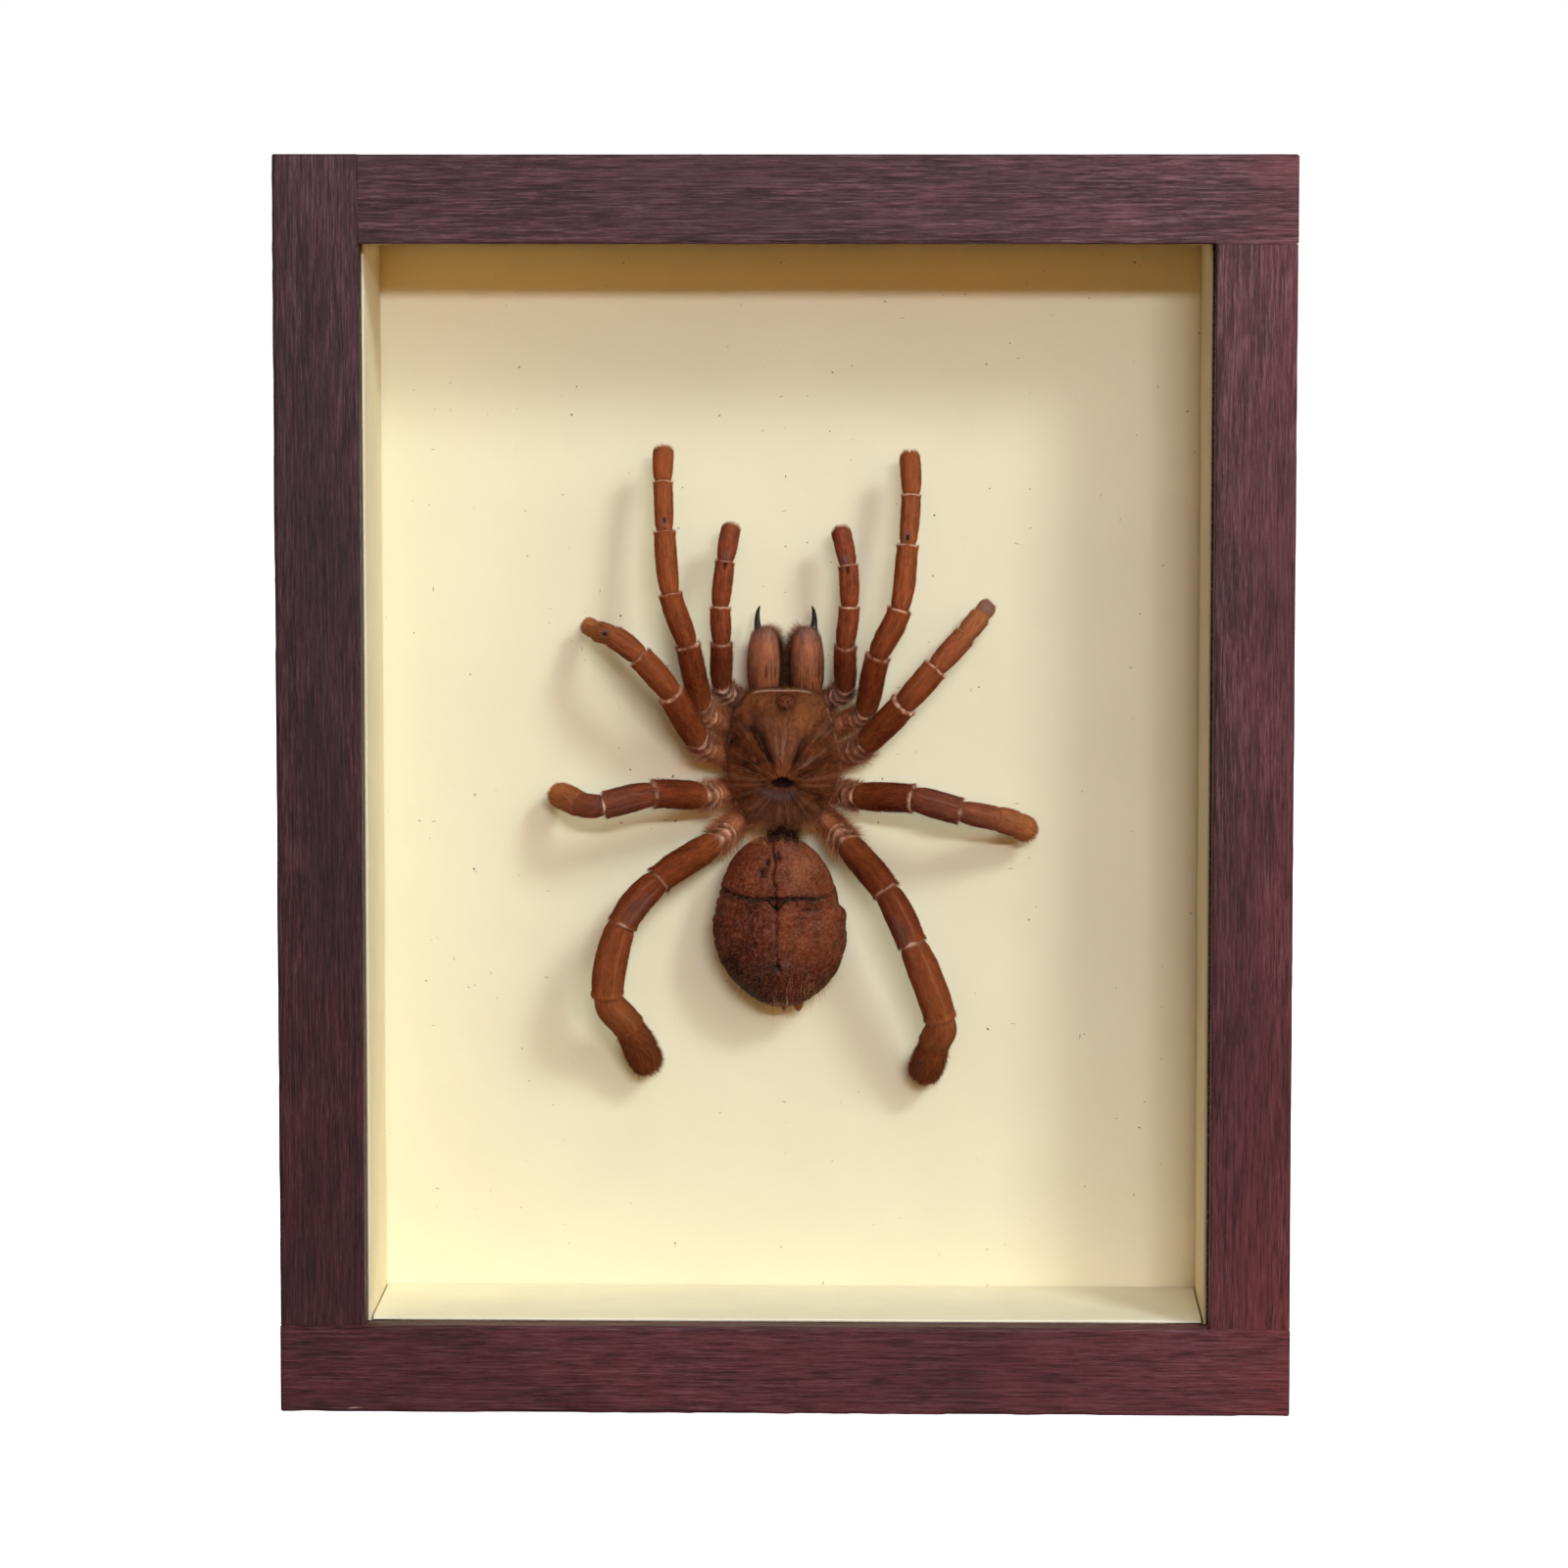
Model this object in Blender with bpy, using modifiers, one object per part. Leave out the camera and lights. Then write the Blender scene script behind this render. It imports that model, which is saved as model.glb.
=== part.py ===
"""Framed tarantula specimen: a deep shadow box with a spread, dried tarantula on its board.

The box stands on its bottom edge, glass toward -Y, with the origin in the middle of its footprint.
Lengths are written in millimetres and become metres where a mesh is made. The specimen has a map
of its own on the board: u to the right, v up the board and h out from the board's face.
"""
import math

import bmesh
import bpy
import numpy as np
from mathutils import Vector

MM = 0.001
GAP = 0.3                       # clearance between pieces that touch

# The frame, seen from the front
FRAME_WIDTH = 201.0
FRAME_HEIGHT = 250.0
FRAME_DEPTH = 50.0
LEFT_STILE_WIDTH = 17.1
RIGHT_STILE_WIDTH = 16.1
TOP_RAIL_WIDTH = 17.6
BOTTOM_RAIL_WIDTH = 17.7
EDGE_EASE = 0.5                 # rounding of the wood's edges
REBATE_LEFT = 3.9               # how far the rebate is cut under the lip, on each side
REBATE_RIGHT = 3.5
REBATE_TOP = 3.9
REBATE_BOTTOM = 4.2

# What is stacked in the rebate, from the front to the back
LIP_DEPTH = 5.0
GLASS_THICKNESS = 2.0
LINER_DEPTH = 33.4
LINER_THICKNESS = 4.0
BOARD_THICKNESS = 3.0
BACK_THICKNESS = 2.5

# The points that hold the back in, pushed half into the wood
POINT_WIDTH = 5.0
POINT_LENGTH = 11.0
POINT_THICKNESS = 0.6
SIDE_POINT_HEIGHTS = (70.0, 185.0)

# The hanger on the back panel
HANGER_LENGTH = 45.0
HANGER_HEIGHT = 7.0
HANGER_THICKNESS = 0.8
HANGER_Z = 226.0
HANGER_TEETH = 9
TOOTH_PITCH = 3.1
TOOTH_HEIGHT = 1.6
RIVET_SPACING = 38.0
RIVET_RADIUS = 1.1
RIVET_HEAD_RADIUS = 2.2
RIVET_HEAD_HEIGHT = 0.6
ROUND_STEPS = 16

# The specimen's place on the board, and its body
SPECIMEN_X = -1.1
SPECIMEN_Z = 122.3
CARAPACE_MID = 0.1              # u of the carapace's middle line
FOVEA_V = 1.0
CARAPACE_OUTLINE = (            # v and half width, from the front edge to the back edge
    (20.3, 0.0), (20.1, 5.6), (19.3, 7.6), (15.7, 9.5), (10.6, 10.8), (5.6, 11.9),
    (1.8, 11.8), (-2.1, 10.3), (-5.9, 8.4), (-8.0, 6.0), (-8.7, 3.0), (-8.8, 0.0))
CARAPACE_RIM = 8.0              # heights above the board
CARAPACE_DOME = 4.2
CAPUT_RISE = 2.9                # how much higher the rim is at the front
CAPUT_SPAN = (4.0, 17.0)        # v where that rise starts and ends
FOVEA_DEPTH = 1.8
FURROW_ANGLES = (30.0, 75.0, 115.0, 150.0)      # from straight ahead, on both sides
FURROW_DEPTHS = (0.75, 0.35, 0.35, 0.35)
FURROW_WIDTH = 7.0
STERNUM_BELLY = GAP
EYE_TUBERCLE = (0.6, 17.3, 11.6)
EYE_TUBERCLE_SIZE = (1.7, 1.5, 2.2)

ABDOMEN_MID = -0.4
ABDOMEN_WIDEST_V = -30.0
ABDOMEN_HALF_WIDTH = 13.3
ABDOMEN_FRONT = 19.8            # from the widest line to the front end
ABDOMEN_BACK = 15.1             # from the widest line to the back end
ABDOMEN_FULLNESS = 1.85
ABDOMEN_LEAN = 0.04             # how far its middle line drifts to the right, for each millimetre
ABDOMEN_HEIGHT = 16.4
CREASE_V = -21.8
CREASE_DEPTH = 1.5
CREASE_WIDTH = 1.3
GROOVE_SHIFT = -0.8
GROOVE_DEPTH = 1.0
PEDICEL_V = -10.0
PEDICEL_H = 6.6
PEDICEL_LENGTH = 6.0
PEDICEL_RADII = (2.4, 1.9)      # at the abdomen and at the carapace
SPINNERETS = ((0.4, 0.9), (3.2, 1.2))   # u and radius of each
SPINNERET_V = -44.3
SPINNERET_H = 7.6
SPINNERET_REACH = 1.9

CHELICERA_MIDS = (-3.6, 4.9)
CHELICERA_SIZE = (3.6, 7.2, 4.1)        # half width, half length, half height
CHELICERA_V = 24.8
CHELICERA_H = 6.8
CHELICERA_FULLNESS = 3.2
FANG_SWEEP = (                  # u outward, v and radius along a fang from its base to its tip
    (0.0, -1.4, 0.9), (0.05, 0.2, 0.95), (0.2, 1.7, 0.8), (0.25, 3.1, 0.62),
    (0.1, 4.4, 0.42), (-0.25, 5.4, 0.16))
FANG_V = 31.0
FANG_DROP = 0.35                # how much a fang falls for each millimetre of its length
FANG_OUT = 1.3                  # how far outside its chelicera's middle a fang grows

# Limbs: joints (u, v, h) from the hip to the tip, and the radius of each segment between them
SEGMENT_SHAPE = ((0.0, 0.84), (0.12, 0.97), (0.5, 1.0), (0.88, 0.97))
TIP_SHAPE = ((0.0, 0.84), (0.15, 0.97), (0.5, 1.0), (0.8, 0.92), (0.94, 0.7), (1.0, 0.4))
PEDIPALP_RADII = (2.0, 2.1, 2.35, 2.25, 2.15, 2.15)
LEG_1_RADII = (2.2, 2.3, 2.6, 2.55, 2.35, 2.1, 2.25)
LEG_2_RADII = (2.3, 2.5, 2.95, 2.75, 2.5, 2.3, 2.0)
LEG_3_RADII = (2.3, 2.6, 3.05, 2.95, 2.6, 2.8, 2.8)
LEG_4_RADII = (2.3, 2.6, 3.1, 3.2, 3.45, 3.4, 3.4)
LIMBS = {
    "pedipalp_left": (PEDIPALP_RADII, (
        (-5.8, 15.2, 5.0), (-9.6, 17.8, 6.0), (-12.2, 20.4, 8.0), (-12.2, 29.4, 12.0),
        (-12.4, 36.7, 12.5), (-11.5, 45.8, 11.0), (-10.3, 53.2, 9.0))),
    "pedipalp_right": (PEDIPALP_RADII, (
        (6.0, 15.2, 5.0), (9.8, 17.6, 6.0), (12.6, 19.8, 8.0), (12.8, 28.7, 12.0),
        (13.6, 36.7, 12.5), (13.3, 45.0, 11.0), (11.7, 52.6, 9.0))),
    "leg_1_left": (LEG_1_RADII, (
        (-8.2, 10.3, 4.8), (-12.8, 13.2, 6.5), (-16.2, 16.0, 9.2), (-19.0, 29.1, 14.0),
        (-22.4, 39.7, 15.5), (-23.6, 52.1, 14.0), (-24.0, 62.0, 12.0), (-24.0, 68.9, 10.0))),
    "leg_1_right": (LEG_1_RADII, (
        (8.2, 10.3, 4.8), (12.8, 12.9, 6.5), (16.7, 15.2, 9.2), (19.4, 26.9, 14.0),
        (23.8, 36.5, 15.5), (25.4, 49.4, 14.0), (26.1, 59.4, 12.0), (25.8, 67.7, 10.0))),
    "leg_2_left": (LEG_2_RADII, (
        (-9.0, 4.6, 4.8), (-13.2, 6.6, 6.5), (-16.9, 9.2, 9.5), (-22.2, 19.3, 15.5),
        (-28.4, 26.9, 17.0), (-33.8, 30.7, 14.0), (-37.3, 31.4, 8.5), (-39.9, 32.4, 4.2))),
    "leg_2_right": (LEG_2_RADII, (
        (9.0, 4.6, 4.8), (13.2, 6.4, 6.5), (16.9, 8.8, 9.5), (24.6, 17.3, 15.5),
        (31.0, 24.7, 16.5), (36.7, 30.8, 13.0), (39.9, 34.4, 8.5), (41.9, 36.7, 5.0))),
    "leg_3_left": (LEG_3_RADII, (
        (-9.2, -1.0, 4.8), (-13.2, -1.7, 6.5), (-16.2, -1.9, 9.5), (-25.9, -1.0, 15.5),
        (-35.7, -3.1, 16.0), (-40.3, -3.5, 13.0), (-43.5, -2.7, 8.5), (-46.0, -2.2, 4.2))),
    "leg_3_right": (LEG_3_RADII, (
        (9.2, -1.0, 4.8), (13.0, -1.7, 6.5), (15.4, -1.9, 9.5), (26.5, -1.8, 15.5),
        (36.0, -4.2, 16.0), (42.9, -6.0, 12.5), (47.1, -7.6, 8.5), (50.3, -9.5, 4.5))),
    "leg_4_left": (LEG_4_RADII, (
        (-7.3, -5.8, 4.8), (-10.9, -9.0, 6.5), (-13.6, -11.4, 9.5), (-24.9, -18.4, 16.0),
        (-32.2, -27.4, 17.0), (-35.3, -41.9, 15.0), (-31.3, -49.4, 9.5), (-27.4, -58.4, 4.6))),
    "leg_4_right": (LEG_4_RADII, (
        (7.3, -5.8, 4.8), (10.7, -9.0, 6.5), (13.2, -11.6, 9.5), (21.2, -20.6, 16.0),
        (26.5, -31.2, 17.0), (32.1, -46.4, 15.0), (31.0, -52.5, 9.5), (28.8, -60.1, 4.6))),
}

# Places worked out from the sizes above: x and z of the opening that shows, and of the rebate
SIGHT_X = (-FRAME_WIDTH / 2 + LEFT_STILE_WIDTH, FRAME_WIDTH / 2 - RIGHT_STILE_WIDTH)
SIGHT_Z = (BOTTOM_RAIL_WIDTH, FRAME_HEIGHT - TOP_RAIL_WIDTH)
REBATE_X = (SIGHT_X[0] - REBATE_LEFT, SIGHT_X[1] + REBATE_RIGHT)
REBATE_Z = (SIGHT_Z[0] - REBATE_BOTTOM, SIGHT_Z[1] + REBATE_TOP)
FRONT_Y = -FRAME_DEPTH / 2
BACK_Y = FRAME_DEPTH / 2
GLASS_Y = FRONT_Y + LIP_DEPTH + GAP
LINER_Y = GLASS_Y + GLASS_THICKNESS + GAP
BOARD_Y = LINER_Y + LINER_DEPTH + GAP
PANEL_Y = BOARD_Y + BOARD_THICKNESS + GAP
PANEL_BACK_Y = PANEL_Y + BACK_THICKNESS


def collection(name):
    """A new collection in the scene."""
    group = bpy.data.collections.new(name)
    bpy.context.scene.collection.children.link(group)
    return group


def finish_of(name, srgb, roughness, metallic=0.0, alpha=1.0):
    """A plain material from a colour given as 0 to 255 sRGB."""
    linear = [((c / 255 + 0.055) / 1.055) ** 2.4 for c in srgb]
    material = bpy.data.materials.new(name)
    material.use_nodes = True
    shader = material.node_tree.nodes["Principled BSDF"]
    shader.inputs["Base Color"].default_value = (*linear, 1.0)
    shader.inputs["Roughness"].default_value = roughness
    shader.inputs["Metallic"].default_value = metallic
    shader.inputs["Alpha"].default_value = alpha
    return material


def add(name, bm, material, group):
    """An object made from a bmesh, which is freed."""
    mesh = bpy.data.meshes.new(name)
    bm.to_mesh(mesh)
    bm.free()
    mesh.materials.append(material)
    obj = bpy.data.objects.new(name, mesh)
    group.objects.link(obj)
    return obj


def block(name, low, high, material, group, ease=0.0):
    """A box between two corners, its edges rounded by `ease`."""
    bm = bmesh.new()
    bmesh.ops.create_cube(bm, size=1.0)
    size = [(b - a) * MM for a, b in zip(low, high)]
    bmesh.ops.scale(bm, vec=size, verts=bm.verts)
    obj = add(name, bm, material, group)
    obj.location = [(a + b) / 2 * MM for a, b in zip(low, high)]
    if ease:
        bevel = obj.modifiers.new("Eased edges", "BEVEL")
        bevel.width = ease * MM
        bevel.segments = 2
    return obj


def as_cutter(obj):
    """Mark an object as a tool that only cuts others."""
    obj.hide_render = True
    obj.display_type = "WIRE"
    return obj


def boolean(target, other, operation="DIFFERENCE"):
    """Cut `other` out of `target`, or join it on."""
    modifier = target.modifiers.new(other.name, "BOOLEAN")
    modifier.object = other
    modifier.operation = operation
    modifier.solver = "EXACT"


def evaluated_mesh(obj):
    """The object's mesh with its modifiers or its bevel made real, and its ends welded."""
    bpy.context.view_layer.update()
    depsgraph = bpy.context.evaluated_depsgraph_get()
    mesh = bpy.data.meshes.new_from_object(obj.evaluated_get(depsgraph))
    bm = bmesh.new()
    bm.from_mesh(mesh)
    bpy.data.meshes.remove(mesh)
    bmesh.ops.remove_doubles(bm, verts=bm.verts, dist=1e-7)
    return bm


def from_curve(obj, material, group):
    """Swap a curve object for a mesh object of the same name, place and shape."""
    bm = evaluated_mesh(obj)
    name, place, curve = obj.name, obj.matrix_world.copy(), obj.data
    bpy.data.objects.remove(obj)
    bpy.data.curves.remove(curve)
    made = add(name, bm, material, group)
    made.matrix_world = place
    return made


def swollen(obj, by, group):
    """A cutter with the object's form, grown outward by the clearance."""
    bm = evaluated_mesh(obj)
    bm.normal_update()
    offsets = [vertex.normal * by * MM for vertex in bm.verts]
    for vertex, offset in zip(bm.verts, offsets):
        vertex.co += offset
    cutter = add(obj.name + "_clearance", bm, obj.active_material, group)
    cutter.matrix_world = obj.matrix_world
    return as_cutter(cutter)


def smooth(obj, angle=40.0):
    """Shade a round piece smooth, with its real edges left sharp."""
    obj.data.shade_smooth()
    obj.data.set_sharp_from_angle(angle=math.radians(angle))


# ---------------------------------------------------------------------------------------- holder

def frame_members(parts, cutters):
    """Two stiles and two rails, butted, with one rebate cut behind their lips."""
    wood = finish_of("stained_wood", (84, 58, 62), 0.5)
    left, right = -FRAME_WIDTH / 2, FRAME_WIDTH / 2
    spans = {
        "frame_left_stile": (left, SIGHT_X[0], SIGHT_Z[0] + GAP, FRAME_HEIGHT),
        "frame_right_stile": (SIGHT_X[1], right, SIGHT_Z[0] + GAP, SIGHT_Z[1] - GAP),
        "frame_top_rail": (SIGHT_X[0] + GAP, right, SIGHT_Z[1], FRAME_HEIGHT),
        "frame_bottom_rail": (left, right, 0.0, SIGHT_Z[0]),
    }
    rebate = as_cutter(block(
        "rebate", (REBATE_X[0], FRONT_Y + LIP_DEPTH, REBATE_Z[0]),
        (REBATE_X[1], BACK_Y + 5.0, REBATE_Z[1]), wood, cutters))
    members = {}
    for name, (x0, x1, z0, z1) in spans.items():
        member = block(name, (x0, FRONT_Y, z0), (x1, BACK_Y, z1), wood, parts, EDGE_EASE)
        boolean(member, rebate)
        members[name] = member
    return members


def sheet(name, y, thickness, material, parts):
    """A flat sheet that fills the rebate, with a little clearance."""
    low = (REBATE_X[0] + GAP, y, REBATE_Z[0] + GAP)
    high = (REBATE_X[1] - GAP, y + thickness, REBATE_Z[1] - GAP)
    return block(name, low, high, material, parts)


def liners(parts):
    """Four strips on the box walls, between the glass and the board."""
    cream = finish_of("cream_liner", (224, 202, 160), 0.7)
    x0, x1 = REBATE_X[0] + GAP, REBATE_X[1] - GAP
    z0, z1 = REBATE_Z[0] + GAP, REBATE_Z[1] - GAP
    inner_x0, inner_x1 = x0 + LINER_THICKNESS, x1 - LINER_THICKNESS
    strips = {
        "liner_left": (x0, inner_x0, z0, z1),
        "liner_right": (inner_x1, x1, z0, z1),
        "liner_top": (inner_x0 + GAP, inner_x1 - GAP, z1 - LINER_THICKNESS, z1),
        "liner_bottom": (inner_x0 + GAP, inner_x1 - GAP, z0, z0 + LINER_THICKNESS),
    }
    for name, (left, right, low, high) in strips.items():
        block(name, (left, LINER_Y, low), (right, LINER_Y + LINER_DEPTH, high), cream, parts)


def plate(name, outline, thickness, material, group, holes=()):
    """A flat plate cut to an outline in x and z, its front face at y 0, with round holes."""
    curve = bpy.data.curves.new(name, "CURVE")
    curve.dimensions = "2D"
    curve.fill_mode = "BOTH"
    curve.extrude = thickness / 2 * MM
    loops = [outline]
    for x, z, radius in holes:
        turns = [2 * math.pi * step / ROUND_STEPS for step in range(ROUND_STEPS)]
        loops.append([(x + radius * math.cos(a), z + radius * math.sin(a)) for a in turns])
    for loop in loops:
        spline = curve.splines.new("POLY")
        spline.use_cyclic_u = True
        spline.points.add(len(loop) - 1)
        for point, (x, z) in zip(spline.points, loop):
            point.co = (x * MM, z * MM, 0.0, 1.0)
    obj = bpy.data.objects.new(name, curve)
    group.objects.link(obj)
    obj.rotation_euler = (math.pi / 2, 0.0, 0.0)
    return from_curve(obj, material, group)


def panel_points(members, parts, cutters):
    """Six flat steel points behind the back panel, each in a slot in the wood."""
    steel = finish_of("zinc_plated_steel", (176, 176, 172), 0.4, 1.0)
    half, reach = POINT_WIDTH / 2, POINT_LENGTH / 2
    outline = [(-reach, 0.0), (-reach + half, -half), (reach, -half), (reach, half),
               (-reach + half, half)]
    mid_x = (REBATE_X[0] + REBATE_X[1]) / 2
    lower, upper = SIDE_POINT_HEIGHTS
    places = {
        "panel_point_left_lower": ("frame_left_stile", REBATE_X[0], lower, 0.0),
        "panel_point_left_upper": ("frame_left_stile", REBATE_X[0], upper, 0.0),
        "panel_point_right_lower": ("frame_right_stile", REBATE_X[1], lower, math.pi),
        "panel_point_right_upper": ("frame_right_stile", REBATE_X[1], upper, math.pi),
        "panel_point_bottom": ("frame_bottom_rail", mid_x, REBATE_Z[0], -math.pi / 2),
        "panel_point_top": ("frame_top_rail", mid_x, REBATE_Z[1], math.pi / 2),
    }
    front = PANEL_BACK_Y + GAP
    for name, (member, x, z, turn) in places.items():
        point = plate(name, outline, POINT_THICKNESS, steel, parts)
        point.rotation_euler = (math.pi / 2, turn, 0.0)
        point.location = (x * MM, (front + POINT_THICKNESS / 2) * MM, z * MM)
        slot = as_cutter(block(
            name + "_slot", (-reach - GAP, -GAP, -half - GAP),
            (reach + GAP, POINT_THICKNESS + GAP, half + GAP), steel, cutters))
        slot.data.transform(slot.matrix_basis)
        slot.location = (x * MM, front * MM, z * MM)
        slot.rotation_euler = (0.0, turn, 0.0)
        boolean(members[member], slot)


def turned(name, profile, material, group):
    """A round piece from a profile of radius and height, run down its outer side."""
    bm = bmesh.new()
    ring = [bm.verts.new((radius * MM, 0.0, height * MM)) for radius, height in profile]
    for start, end in zip(ring, ring[1:]):
        bm.edges.new((start, end))
    obj = add(name, bm, material, group)
    screw = obj.modifiers.new("Turn", "SCREW")
    screw.steps = screw.render_steps = ROUND_STEPS
    screw.use_merge_vertices = True
    screw.merge_threshold = 1e-6
    return obj


def hanger(panel, parts, cutters):
    """A sawtooth hanger, riveted to the back panel inside its recess."""
    steel = finish_of("hanger_steel", (182, 178, 168), 0.35, 1.0)
    half, low = HANGER_LENGTH / 2, -HANGER_HEIGHT / 2
    start = -TOOTH_PITCH * HANGER_TEETH / 2
    outline = [(-half, low)]
    for tooth in range(HANGER_TEETH):
        outline.append((start + tooth * TOOTH_PITCH, low))
        outline.append((start + (tooth + 0.5) * TOOTH_PITCH, low + TOOTH_HEIGHT))
    outline += [(-start, low), (half, low), (half, -low), (-half, -low)]
    hole = RIVET_RADIUS + GAP
    holes = [(side * RIVET_SPACING / 2, 0.0, hole) for side in (-1, 1)]
    bar = plate("sawtooth_hanger", outline, HANGER_THICKNESS, steel, parts, holes)
    mid_x = (REBATE_X[0] + REBATE_X[1]) / 2
    y = PANEL_BACK_Y + GAP
    bar.location = (mid_x * MM, (y + HANGER_THICKNESS / 2) * MM, HANGER_Z * MM)
    seat = GAP + HANGER_THICKNESS + GAP     # from the panel's back face to the rivet's head
    crown = seat + RIVET_HEAD_HEIGHT
    profile = ((0.0, crown), (RIVET_HEAD_RADIUS * 0.7, crown), (RIVET_HEAD_RADIUS, seat),
               (RIVET_RADIUS, seat), (RIVET_RADIUS, -BACK_THICKNESS), (0.0, -BACK_THICKNESS))
    for side, word in ((-1, "left"), (1, "right")):
        rivet = turned("hanger_rivet_" + word, profile, steel, parts)
        rivet.rotation_euler = (-math.pi / 2, 0.0, 0.0)
        place = ((mid_x + side * RIVET_SPACING / 2) * MM, PANEL_BACK_Y * MM, HANGER_Z * MM)
        rivet.location = place
        smooth(rivet)
        drill = bmesh.new()
        bmesh.ops.create_cone(drill, cap_ends=True, segments=ROUND_STEPS, radius1=hole * MM,
                              radius2=hole * MM, depth=4 * BACK_THICKNESS * MM)
        bore = as_cutter(add("rivet_hole_" + word, drill, steel, cutters))
        bore.rotation_euler = (math.pi / 2, 0.0, 0.0)
        bore.location = place
        boolean(panel, bore)


# -------------------------------------------------------------------------------------- specimen

def on_board(u, v, h):
    """A point of the specimen's map, in the part's own frame."""
    return Vector(((SPECIMEN_X + u) * MM, (BOARD_Y - h) * MM, (SPECIMEN_Z + v) * MM))


def ball(segments, rings, shape):
    """A sphere whose every point is moved to where `shape` sends its unit position."""
    bm = bmesh.new()
    bmesh.ops.create_uvsphere(bm, u_segments=segments, v_segments=rings, radius=1.0)
    for vertex in bm.verts:
        vertex.co = on_board(*shape(vertex.co.copy()))
    bmesh.ops.recalc_face_normals(bm, faces=bm.faces)
    return bm


def rim_radius(angle):
    """Distance from the fovea to the carapace's edge, at an angle from straight ahead."""
    turns = [math.atan2(half, v - FOVEA_V) for v, half in CARAPACE_OUTLINE]
    reach = [math.hypot(half, v - FOVEA_V) for v, half in CARAPACE_OUTLINE]
    return float(np.interp(abs(angle), turns, reach))


def ramp(value, low, high):
    """A smooth step from 0 at `low` to 1 at `high`."""
    t = min(1.0, max(0.0, (value - low) / (high - low)))
    return t * t * (3.0 - 2.0 * t)


def furrow(angle, out):
    """Depth of the furrows that run out from the fovea, at an angle and a share of the way."""
    turned_by = math.degrees(abs(angle))
    depth = max(deep * math.exp(-((turned_by - at) / FURROW_WIDTH) ** 2)
                for at, deep in zip(FURROW_ANGLES, FURROW_DEPTHS))
    return depth * ramp(out, 0.15, 0.3) * (1.0 - ramp(out, 0.6, 0.95))


def carapace_height(v, angle, out):
    """Height of the carapace: a low dome, its front raised, pitted at the fovea."""
    rim = CARAPACE_RIM + CAPUT_RISE * ramp(v, *CAPUT_SPAN)
    dome = CARAPACE_DOME * (1.0 - out ** 2.4) * (1.0 - 0.3 * ramp(v, *CAPUT_SPAN))
    pit = FOVEA_DEPTH * (1.0 - ramp(out, 0.0, 0.2))
    return rim + dome - pit - furrow(angle, out)


def cephalothorax(parts, cutters):
    """The carapace over the sternum, with the eye tubercle joined on."""
    hide = finish_of("carapace_fur", (78, 44, 27), 0.8)
    below = np.array((          # share of the way round under, share of the rim, share of height
        (0.0, 1.0, 1.0), (0.25, 0.93, 0.82), (0.5, 0.8, 0.48), (0.72, 0.66, 0.15),
        (0.86, 0.45, 0.0), (1.0, 0.0, 0.0)))

    def shape(unit):
        angle = math.atan2(unit.x, unit.y)
        down = math.acos(max(-1.0, min(1.0, unit.z))) / (math.pi / 2)
        out, height = down ** 1.15, 1.0
        if down > 1.0:
            out = float(np.interp(down - 1.0, below[:, 0], below[:, 1]))
            height = float(np.interp(down - 1.0, below[:, 0], below[:, 2]))
        reach = rim_radius(angle) * out
        u, v = reach * math.sin(angle), reach * math.cos(angle) + FOVEA_V
        top = carapace_height(v, angle, out if down <= 1.0 else 1.0)
        return CARAPACE_MID + u, v, STERNUM_BELLY + (top - STERNUM_BELLY) * height

    body = add("cephalothorax", ball(36, 18, shape), hide, parts)
    wide, long, tall = EYE_TUBERCLE_SIZE
    u0, v0, h0 = EYE_TUBERCLE
    bump = add("eye_tubercle", ball(12, 8, lambda unit: (
        u0 + wide * unit.x, v0 + long * unit.y, h0 + tall * unit.z)), hide, cutters)
    boolean(body, as_cutter(bump), "UNION")
    smooth(body)
    return body


def egg(v):
    """How wide the abdomen is at v, from 0 at its ends to 1 at its widest line."""
    reach = ABDOMEN_FRONT if v > ABDOMEN_WIDEST_V else ABDOMEN_BACK
    along = min(1.0, abs(v - ABDOMEN_WIDEST_V) / reach)
    return (1.0 - along ** ABDOMEN_FULLNESS) ** (1.0 / ABDOMEN_FULLNESS)


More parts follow.
